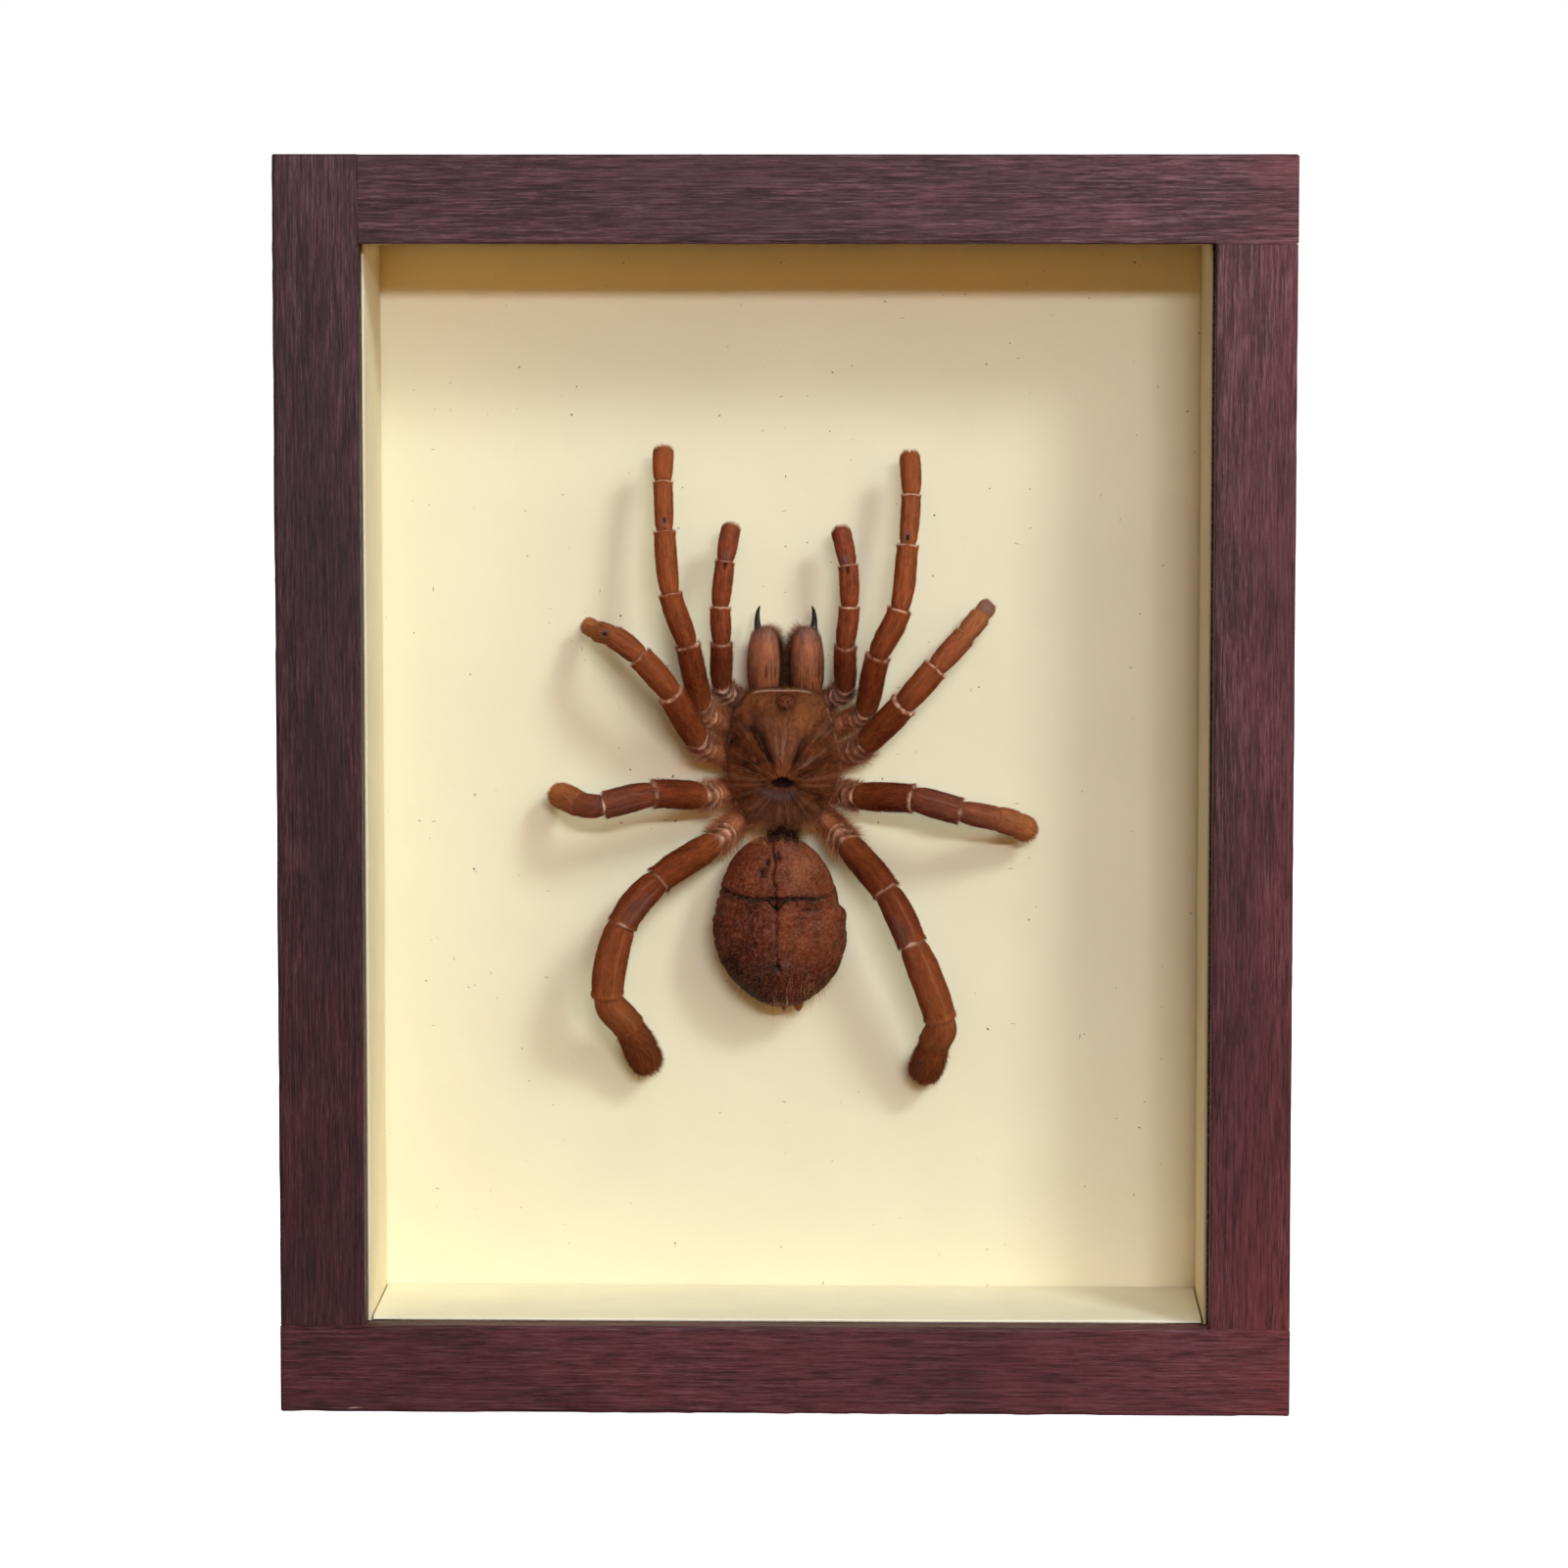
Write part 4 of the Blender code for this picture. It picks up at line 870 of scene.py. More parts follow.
def frame_member(name, finish, depth):
    """One member of the frame, with its brushed grain, worn edges and rebate."""
    axis, outer, sight, rebate, span, free, opening, cut = MEMBERS[name]
    inward = 1.0 if sight > outer else -1.0
    low, high = span[0] + 0.01, span[1] - 0.01
    # stations along it: even ones, and more at the opening's, the rebate's and the free ends
    marks = [low, high]
    for edge in (*opening, *cut):
        marks += [edge - 0.02, edge + 0.02]
    for at, is_free, sign in ((low, free[0], 1), (high, free[1], -1)):
        if is_free:
            marks += [at + sign * EDGE_EASE * share for share in (0.07, 0.29, 0.6, 1.0)]
    marks = [mark for mark in marks if low <= mark <= high]
    stations = np.unique(np.round(np.concatenate([np.arange(low, high, 2.4), marks]), 3))

    # the outline at each station
    rings, ways, edges = [], [], []
    for at in stations:
        is_open = opening[0] <= at <= opening[1]
        is_cut = cut[0] <= at <= cut[1]
        inner = rebate if is_cut else sight - inward * 0.05
        corners = [(outer, FRAME_Y[0]), (sight, FRAME_Y[0]), (sight, SHELF_Y), (inner, SHELF_Y),
                   (inner, FRAME_Y[1]), (outer, FRAME_Y[1])]
        eases = (EDGE_EASE, EDGE_EASE if is_open else 0.02, 0.02, 0.02, 0.02, EDGE_EASE)
        outline = eased_outline(corners, eases, (76, 12, 3, 16, 10, 96))
        rings.append(outline[0]), ways.append(outline[1]), edges.append(outline[2])
    rings, ways, edges = np.array(rings), np.array(ways), np.array(edges)
    if inward < 0:
        ways = -ways

    # brushed grain, dents along the edges, and chips
    along = np.broadcast_to(stations[:, None], rings.shape[:2])
    grain = vectors(rings[..., 0], rings[..., 1], along)
    seed = sum(map(ord, name))
    fine = layered(grain * (2.6, 2.6, 0.06), 3, seed, 0.7)
    broad = layered(grain * (0.5, 0.5, 0.02), 2, seed + 9)
    relief = 0.65 * fine + 0.35 * broad
    dents = edges * np.clip(layered(grain * (0.3, 0.3, 0.16), 3, seed + 20), 0.0, 1.0) * 2.2
    chip = np.zeros(relief.shape)
    for x, z, size in CHIPS:
        place_x, place_z = (rings[..., 0], along) if axis == "z" else (along, rings[..., 0])
        stretch = (1.0, 2.6) if axis == "z" else (2.6, 1.0)
        away = np.hypot((place_x - x) / stretch[0], (place_z - z) / stretch[1]) / size
        away = away + 0.5 * layered(grain * (2.2, 2.2, 1.1), 2, seed + 31)
        facing = ways[..., 1] < -0.3
        chip = np.maximum(chip, (1.0 - ramp(away, 0.5, 0.75)) * facing)
    fade = np.minimum(ramp(along, low, low + 0.5), 1.0 - ramp(along, high - 0.5, high))
    lift = depth * relief * fade - depth - 0.3 * dents * fade - 0.12 * chip
    moved = rings + ways * lift[..., None]

    # free ends: eased all round, with no corner folded over
    for at, is_free in ((low, free[0]), (high, free[1])):
        if is_free:
            into = np.clip(EDGE_EASE - np.abs(stations - at), 0.0, EDGE_EASE)
            inset = EDGE_EASE - np.sqrt(np.maximum(EDGE_EASE ** 2 - into ** 2, 0.0))
            moved = moved - ways * inset[:, None, None]
            limit = (inset + depth * (inset > 0.0))[:, None]
            joint = (np.abs(rings[..., 0] - sight) < 0.06) & (limit > 0.0)
            moved = np.where(joint[..., None], rings, moved)
            for part, pair in enumerate(((outer, sight), FRAME_Y)):
                moved[..., part] = np.clip(moved[..., part], min(pair) + limit, max(pair) - limit)
            moved[..., 0] = np.where(joint, sight - inward * limit, moved[..., 0])
    if axis == "z":
        points = vectors(moved[..., 0], moved[..., 1], along)
    else:
        points = vectors(along, moved[..., 1], moved[..., 0])
    count, around = rings.shape[:2]
    quads = strip_quads(count, around)
    row = np.arange(around)
    turn = np.roll(row, -1)
    last = (count - 1) * around
    hub = count * around + 0 * row
    ends = np.concatenate([np.stack([turn, row, hub], axis=-1),
                           np.stack([last + row, last + turn, hub + 1], axis=-1)])
    # the raised grain, kept for the stain's mauve ridges, partly a painted highlight
    dry_ridge_and_highlight = np.clip(relief * 1.4, 0.0, 1.0) * 0.8
    masks = {
        "grain": np.concatenate([grain.reshape(-1, 3), grain[[0, -1]].mean(1)]),
        "relief": np.append(dry_ridge_and_highlight.ravel(), (0.3, 0.3)), "chip": np.append(chip.ravel(), (0, 0))}
    points = np.concatenate([points.reshape(-1, 3), points[[0, -1]].mean(1)])
    strip_piece(name.replace("frame_", "") + "_wood", name, "stained_wood", points,
                quads.tolist() + ends.tolist(), masks, finish, flat_from=len(quads))


class OBJECT_OT_frame_members(bpy.types.Operator):
    """Make the four wooden members of the frame"""
    bl_idname = "specimen.frame_members"
    bl_label = "Frame members"

    def execute(self, context):
        settings = context.scene.specimen
        finish = stained_wood(tuple(settings.stain))
        for name in MEMBERS:
            frame_member(name, finish, settings.grain_depth)
        return {"FINISHED"}


def liner(name, corners, finish, bow):
    """One lining strip with a slightly wavy front edge."""
    (x0, x1), (z0, z1) = corners
    upright = z1 - z0 > x1 - x0
    span, across = ((z0, z1), (x0, x1)) if upright else ((x0, x1), (z0, z1))
    stations = np.linspace(span[0], span[1], 110)
    outline = eased_outline(
        [(across[0], LINER_Y[0]), (across[1], LINER_Y[0]), (across[1], LINER_Y[1]),
         (across[0], LINER_Y[1])], (0.25, 0.25, 0.05, 0.05), (7, 24, 4, 24))[0]
    rings = np.broadcast_to(outline, (len(stations), *outline.shape))
    along = np.broadcast_to(stations[:, None], rings.shape[:2])
    seed = sum(map(ord, name))
    front = 1.0 - ramp(rings[..., 1], LINER_Y[0], LINER_Y[0] + 3.0)
    wave = mottled(along * 0.035, along * 0.0, 3, seed) * 0.5 + 0.5
    share = (along - span[0]) / (span[1] - span[0])
    tips = ramp(np.abs(share - 0.5), 0.44, 0.5)
    moved_y = rings[..., 1] + front * (0.55 * wave + bow * tips)
    is_low = name in ("liner_left", "liner_bottom")
    inner_at = outline[:, 0].max() if is_low else outline[:, 0].min()
    inner = np.abs(rings[..., 0] - inner_at) < 0.3
    sag = 0.10 * mottled(along * 0.03, rings[..., 1] * 0.05, 2, seed + 5)
    outward = -1.0 if is_low else 1.0
    moved_c = rings[..., 0] + inner * outward * (0.12 + sag + 0.35 * front * bow * tips)
    points = vectors(moved_c, moved_y, along) if upright else vectors(along, moved_y, moved_c)
    cream = {"liner_left": 0.35, "liner_right": 0.6}.get(name, 0.25)
    # painted shade: the front face is darkened beside the wood's lip, where the gap lies in shade;
    # its inner part stays cream
    edge = front * ramp(rings[..., 1], LINER_Y[0] + 0.5, LINER_Y[0] + 0.12) \
        * ramp(np.abs(rings[..., 0] - inner_at), cream, cream + 0.15)
    count, around = rings.shape[:2]
    row = np.arange(around)
    ends = [row[::-1].tolist(), ((count - 1) * around + row).tolist()]
    strip_piece(name + "_card", name, "cream_liner", points.reshape(-1, 3),
                strip_quads(count, around).tolist() + ends, {"edge": edge.ravel()}, finish)


class OBJECT_OT_linings(bpy.types.Operator):
    """Make the four cream strips that line the box"""
    bl_idname = "specimen.linings"
    bl_label = "Linings"

    def execute(self, context):
        card = tuple(context.scene.specimen.liner)
        finish = cream_liner("side_card", card)
        # painted light: the upward-facing bottom strip gets a lighter copy of the card
        lower = cream_liner("lower_card", (0.99, 0.92, 0.66))
        x0, x1 = REBATE_X[0] + GAP, REBATE_X[1] - GAP
        z0, z1 = REBATE_Z[0] + GAP, REBATE_Z[1] - GAP
        inner = (x0 + LINER_THICKNESS + GAP, x1 - LINER_THICKNESS - GAP)
        liner("liner_left", ((x0, x0 + LINER_THICKNESS), (z0, z1)), finish, 0.3)
        liner("liner_right", ((x1 - LINER_THICKNESS, x1), (z0, z1)), finish, 0.3)
        liner("liner_top", (inner, (z1 - LINER_THICKNESS, z1)), finish, 0.4)
        liner("liner_bottom", (inner, (z0, z0 + LINER_THICKNESS)), lower, 0.9)
        return {"FINISHED"}


class OBJECT_OT_sheets(bpy.types.Operator):
    """Finish the glass, the mount board and the back panel"""
    bl_idname = "specimen.sheets"
    bl_label = "Glass, board and back"

    def execute(self, context):
        paper = tuple(context.scene.specimen.paper)
        for node, finish in (("glass_pane", clear_glass()), ("mount_board", cream_paper(paper)),
                             ("back_panel", hardboard())):
            refinish(node, finish)
        return {"FINISHED"}


def refinish(node, material):
    """Give a solid that stays a better material in all its slots."""
    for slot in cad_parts[node].material_slots:
        slot.material = material


class OBJECT_OT_hardware(bpy.types.Operator):
    """Finish the steel points, the hanger and its rivets"""
    bl_idname = "specimen.hardware"
    bl_label = "Points and hanger"

    def execute(self, context):
        zinc = bare_steel("zinc_plate", (0.47, 0.47, 0.45), (0.3, 0.3, 3.0), 0.42)
        plated = bare_steel("hanger_plate", (0.50, 0.46, 0.40), (0.3, 3.0, 3.0), 0.36)
        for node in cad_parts:
            if node.startswith("panel_point"):
                refinish(node, zinc)
            elif node == "sawtooth_hanger" or node.startswith("hanger_rivet"):
                refinish(node, plated)
        return {"FINISHED"}


# --------------------------------------------------------------------------------------- the limbs

RING_STEP = 0.34                # between rings along a limb
AROUND = 44
SKIN_INSET = 0.22               # how far the skin lies under the outline that the fur makes


def through(joints, number, share):
    """Points on the smooth curve through the joints, and the way the curve runs there."""
    before, start = joints[max(0, number - 1)], joints[number]
    end, after = joints[number + 1], joints[min(len(joints) - 1, number + 2)]
    share = share[:, None]
    linear, square = end - before, 2 * before - 5 * start + 4 * end - after
    cube = 3 * start - before - 3 * end + after
    at = (2 * start + linear * share + square * share ** 2 + cube * share ** 3) / 2
    way = (linear + 2 * square * share + 3 * cube * share ** 2) / 2
    return at, way


def limb_stations(joints):
    """Every ring along a limb: its middle, its way, segment, distances to that segment's ends."""
    rows = []
    for number in range(len(joints) - 1):
        length = np.linalg.norm(joints[number + 1] - joints[number])
        near_end = length - np.array((0.0, 0.07, 0.15, 0.25, 0.4, 0.6, 0.85))
        near_start = np.array((0.06, 0.2, 0.4, 0.65))
        even = np.arange(0.9, length - 0.95, RING_STEP)
        places = np.unique(np.round(np.concatenate([near_start, even, near_end]), 3))
        places = places[(places > 0.02) & (places <= length + 1e-6)]
        at, way = through(joints, number, places / length)
        for place_at, place_way, done in zip(at, way, places):
            rows.append((*place_at, *place_way, number, done, length))
    rows = np.array(rows)
    return rows[:, :3], unit(rows[:, 3:6]), rows[:, 6].astype(int), rows[:, 7], rows[:, 8]


def limb_skin(name, finish):
    """The skin of one limb, with the masks that colour it and guide its fur."""
    radii, joints = LIMBS[name]
    joints = np.array(joints)
    middle, way, segment, done, length = limb_stations(joints)
    kind = name.rsplit("_", 1)[0]
    final = len(radii) - 1
    share, left = done / length, length - done
    is_tip = segment == final
    side, dorsal = across_line(way)
    travelled = np.concatenate([[0.0], np.cumsum(np.linalg.norm(np.diff(middle, axis=0), axis=1))])

    # girth: swollen along each segment, narrower where it sits in the one before
    radius = np.array(radii)[segment] - SKIN_INSET
    swell = np.interp(share, (0.0, 0.1, 0.35, 0.7, 0.9, 1.0), (0.84, 0.92, 1.0, 1.01, 0.97, 0.985))
    rim = 0.055 * hump(left, 0.4, 0.5) * ~is_tip
    drop = 0.20 * (1.0 - ramp(left, 0.0, 0.3)) * ~is_tip
    socket = 0.12 * np.exp(-done / 0.4) * (segment > 0)
    tip_run = np.minimum(radius * 0.95, length * 0.5)
    tip = np.where(is_tip, np.sqrt(np.clip(1 - (1 - np.clip(left / tip_run, 0, 1)) ** 2, 0, 1)), 1)
    radius = radius * (swell + rim - drop - socket) * np.maximum(tip, 0.12)

    # measures round the limb and along it
    turn = full_turn(AROUND)
    degrees = np.degrees(turn)[None, :]
    ring = radius[:, None] * np.ones((1, AROUND))
    lie = vectors(ring * np.cos(turn), ring * np.sin(turn), travelled[:, None])
    seed = sum(map(ord, name))
    segments = segment[:, None]
    is_hip = segments <= 1

    # folds over the hip, clumps, and two bare stripes
    before_femur = travelled[segment == 1].max() - travelled[:, None]
    arched = before_femur + 1.3 * (1.0 - np.cos(turn)) + 0.5 * layered(lie * 0.45, 2, seed)
    folds = sum(hump(arched, at, 0.26) for at in (0.2, 1.8, 3.3)) * (segments <= 2)
    shaded_creases = sum(hump(arched, at, 0.34) for at in (0.85, 2.4, 3.9)) * (segments <= 2)
    ring = ring + 0.13 * folds - 0.16 * shaded_creases
    clumps = layered(lie * (0.8, 0.8, 0.35), 3, seed + 3)
    ring = ring * (1.0 + 0.035 * clumps)
    stripes = sum(hump(degrees, angle, 5.0) for angle in (-24.0, 20.0))
    striped = stripes * np.isin(segments, (3, 4, 5)) * ramp(left[:, None], 0.4, 1.6) \
        * ramp(done[:, None], 0.4, 1.6)
    if kind == "pedipalp":
        striped = striped * (segments < 5)
    ring = ring - 0.07 * striped

    # pale skin at the joints
    rings_at = dict(zip(range(2, final), RINGS[name]))
    strength = np.array([rings_at.get(number, 0.0) for number in range(final + 1)])
    ahead = strength[segment][:, None]
    behind = strength[np.maximum(segment - 1, 0)][:, None] * (segments > 2)
    broken = np.clip(0.62 + 1.1 * layered(lie * (1.0, 1.0, 0.8), 2, seed + 7), 0.0, 1.1)
    notch = hump(degrees, 0.0, 20.0) * (kind in ("leg_4", "leg_3"))
    wavy = left[:, None] + 0.2 * layered(lie * (0.8, 0.8, 0.0), 2, seed + 9)
    width = 0.16 + 0.18 * noise(lie * (0.9, 0.9, 0.0), seed + 8) + 0.55 * notch * (segments == 3)
    pale = ahead * (1.0 - ramp(wavy, width * 0.6, width * 1.3)) * broken
    pale = np.maximum(pale, 0.8 * behind * (1.0 - ramp(done[:, None], 0.08, 0.22)) * broken)
    pale = np.clip(np.maximum(pale, 0.85 * folds * broken + 0.08 * is_hip), 0.0, 1.0)
    pale = np.maximum(pale, 0.07 * striped)

    # shades of the coat, painted shade on the flanks, underneath and in the creases, and the bare
    # spots
    table = np.array(SHADES[kind])
    dark, grey, ember = (
        np.interp(segment + share, np.arange(len(table)) + 0.5, table[:, column])[:, None]
        * np.ones((1, AROUND)) for column in range(3))
    under = ramp(np.abs(degrees), 95.0, 160.0) * np.ones_like(ring)
    flanks = ramp(np.abs(degrees), 45.0, 95.0)
    # painted shade: darker on the flanks, underneath and in the creases over the hip
    dark = np.clip(dark + 0.1 * flanks + 0.1 * under + 0.5 * shaded_creases, 0, 0.9)
    dark = np.maximum(dark, 0.5 * (1.0 - ramp(done[:, None], 0.05, 0.6)) * (segments > 2))
    bare = np.zeros_like(ring)
    for part, share_at, angle, reach, spread, mask in PATCHES.get(name, ()):
        off = (done - share_at * length)[:, None] / reach
        near = np.hypot(off, (degrees - angle) / spread) + 0.35 * layered(lie * 0.9, 2, seed + 11)
        spot = (1.0 - ramp(near, 0.75, 1.1)) * (segments == part)
        if mask == "dark":
            dark = np.maximum(dark, 0.9 * spot)
            ring = ring - 0.25 * spot
            bare = np.maximum(bare, spot)
        else:
            grey = np.maximum(grey, (0.4 if kind == "leg_4" else 0.75) * spot)
            bare = np.maximum(bare, 0.6 * spot)

    # the points, and how the hairs lie, how dense and how long they are
    two_lobes = name in ("leg_1_right", "leg_2_right")
    spread_tip = 0.9 * (np.abs(np.sin(turn)) ** 1.5 - 0.45) * two_lobes
    stretch = spread_tip[None, :] * (ramp(share, 0.72, 1.0) * is_tip)[:, None]
    points = ringed(middle[:, None] + way[:, None] * stretch[..., None], side, dorsal, ring, turn)
    swirl = layered(lie * (0.3, 0.3, 0.2), 2, seed + 13)
    sideways = 0.35 * swirl + np.where(is_hip, 1.1 * np.sin(turn), 0.0)
    comb = way[:, None, :] + sideways[..., None] * side[:, None, :]
    pad = (kind in ("leg_3", "leg_4")) * (segments == final)
    brush = (kind == "leg_4") * (segments == final)
    coat_length = np.where(is_hip, 1.4, np.where(segments == 2, 1.0, 0.8)) + 0.35 * pad
    coat_length = coat_length * (1.0 - 0.08 * flanks * ~is_hip) + 0.4 * brush
    coat_share = (1.0 - 0.95 * ramp(pale * ~is_hip, 0.15, 0.4)) * (1.0 - 0.8 * bare)
    coat_share = coat_share * np.where(is_hip, 0.6, 1.0)
    sides = ramp(np.abs(np.abs(degrees) - 90.0), 65.0, 20.0)
    at_rims = hump(left[:, None], 0.9, 0.7) * ~is_tip[:, None] * (segments > 1)
    bristle = 0.12 + 0.7 * at_rims * sides + 0.3 * (segments == 2) + 0.4 * brush
    bristle = bristle + is_hip * (0.4 + 3.4 * sides)
    bristle = bristle * (1.0 - bare)
    bristle_length = np.where(is_hip, 1.05 + 0.25 * (kind == "leg_4"),
                              0.5 + 0.25 * at_rims + 0.1 * (segments == 2))
    ruffle = np.where(is_hip, 2.0, 1.35 + 0.9 * at_rims + 0.6 * (segments == 2) + 0.8 * brush
                      + 0.5 * pad)
    masks = {
        "lie": lie, "dark": dark, "grey": np.clip(grey, 0, 1), "ember": np.clip(ember, 0, 1),
        "pale": np.clip(pale, 0, 0.95), "comb": to_world(unit(comb)), "coat_share": coat_share,
        "coat_length": coat_length, "bristle_share": bristle, "bristle_length": bristle_length,
        "ruffle": ruffle}
    ends = (middle[0] - way[0] * 0.2, points[-1].mean(0) + way[-1] * 0.02)
    return lofted(name + "_skin", points, ends, masks, finish, "limb_fur", name)


class OBJECT_OT_limbs(bpy.types.Operator):
    """Make the pedipalps and the legs, skin and fur"""
    bl_idname = "specimen.limbs"
    bl_label = "Pedipalps and legs"

    def execute(self, context):
        settings = context.scene.specimen
        coat = tuple(settings.coat)
        skin_material = skin_finish("skin_of_limbs", times(coat, 0.85), 0.65, 0.5, 0.06)
        fur_material = fur_finish("coat_of_limbs", times(coat, 1.1), 0.45, (0.68, 0.24, 0.08), 0.3)
        for number, name in enumerate(LIMBS):
            skin = limb_skin(name, skin_material)
            grow_fur(skin, name + "_fur", fur_material, "limb_fur",
                     Seed=settings.seed + 10 * number)
        return {"FINISHED"}


# ---------------------------------------------------------------------------------- the carapace

CARAPACE_MID = 0.1
FOVEA_V = 1.0
CARAPACE_OUTLINE = (
    (20.3, 0.0), (20.1, 5.6), (19.3, 7.6), (15.7, 9.5), (10.6, 10.8), (5.6, 11.9),
    (1.8, 11.8), (-2.1, 10.3), (-5.9, 8.4), (-8.0, 6.0), (-8.7, 3.0), (-8.8, 0.0))
CARAPACE_RIM = 8.0
CARAPACE_DOME = 4.2
CAPUT_RISE = 2.9
CAPUT_SPAN = (4.0, 17.0)
FURROW_ANGLES = (26.5, 70.0, 112.0, 150.0)
FURROW_DEPTHS = (1.0, 0.3, 0.3, 0.2)
EYE_TUBERCLE = (0.6, 17.3)
EYE_TUBERCLE_SIZE = (1.75, 1.45, 0.85)
EYES = (                        # u and v from the tubercle's middle, and radius
    (-0.52, 0.25, 0.22), (0.52, 0.25, 0.22), (-1.02, 0.55, 0.16), (1.02, 0.55, 0.16),
    (-1.10, -0.36, 0.15), (1.10, -0.36, 0.15), (-0.62, -0.46, 0.11), (0.62, -0.46, 0.11))


def rim_reach(angles):
    """Distance from the fovea to the carapace's edge, smoothed at its corners."""
    turns = np.array([math.atan2(half, v - FOVEA_V) for v, half in CARAPACE_OUTLINE])
    reach = np.array([math.hypot(half, v - FOVEA_V) for v, half in CARAPACE_OUTLINE])
    total = sum(
        np.interp(np.abs((angles + step + math.pi) % (2 * math.pi) - math.pi), turns, reach)
        for step in np.radians(np.linspace(-4.0, 4.0, 9)))
    return total / 9


def from_tubercle(u, v):
    """Distance from the eye tubercle's middle, 1 at its edge."""
    wide, long = EYE_TUBERCLE_SIZE[:2]
    return np.hypot((u - CARAPACE_MID - EYE_TUBERCLE[0]) / wide, (v - EYE_TUBERCLE[1]) / long)


def tubercle_rise(u, v):
    """How high the eye tubercle stands at a place."""
    away = from_tubercle(u, v)
    return EYE_TUBERCLE_SIZE[2] * (1.0 - ramp(away, 0.45, 1.0)) - 0.25 * hump(away, 1.12, 0.14)


def carapace_surface(angle, out):
    """Map points of the carapace's top at an angle from straight ahead and a share outward."""
    reach = (rim_reach(angle) - 0.15) * out
    u, v = reach * np.sin(angle), reach * np.cos(angle) + FOVEA_V
    caput = ramp(v, *CAPUT_SPAN)
    rim = CARAPACE_RIM + CAPUT_RISE * caput
    dome = CARAPACE_DOME * (1.0 - out ** 2.4) * (1.0 - 0.3 * caput)
    degrees = np.degrees(np.abs(angle))
    furrows = sum(depth * hump(degrees, at, 6.5)
                  for at, depth in zip(FURROW_ANGLES, FURROW_DEPTHS))
    furrows = furrows * ramp(out, 0.14, 0.3) * (1.0 - ramp(out, 0.66, 0.97))
    ragged = 1.0 + 0.28 * mottled(u * 1.1, v * 1.1, 2, 8)
    away = np.hypot(u / 2.7, (v - FOVEA_V + 0.10 * np.abs(u) ** 1.4) / 0.95) * ragged
    pit = 1.9 * (1.0 - ramp(away, 0.2, 1.3))
    lumps = 0.24 * mottled(u * 0.5, v * 0.5, 3, 5) * ramp(out, 0.1, 0.3)
    strands = vectors(np.cos(angle) * 9, np.sin(angle) * 9, reach * 0.25)
    lumps = lumps + 0.10 * layered(strands, 3, 6, 0.7) * ramp(out, 0.1, 0.3)
    brow = 0.15 * hump(out, 0.972, 0.014) * (1.0 - ramp(np.abs(u), 5.0, 6.4)) * (v > 10)
    brow = brow - 0.5 * ramp(out, 0.975, 1.0) * (v > 10)
    h = rim + dome - pit - furrows + lumps + brow + tubercle_rise(u + CARAPACE_MID, v)
    return CARAPACE_MID + u, v, h


BELOW_RIM = np.array((          # share of the way round under, share of the rim, share of height
    (0.0, 1.0, 1.0), (0.08, 0.995, 0.95), (0.25, 0.93, 0.82), (0.5, 0.8, 0.48),
    (0.72, 0.66, 0.15), (0.86, 0.45, 0.0), (1.0, 0.0, 0.0)))


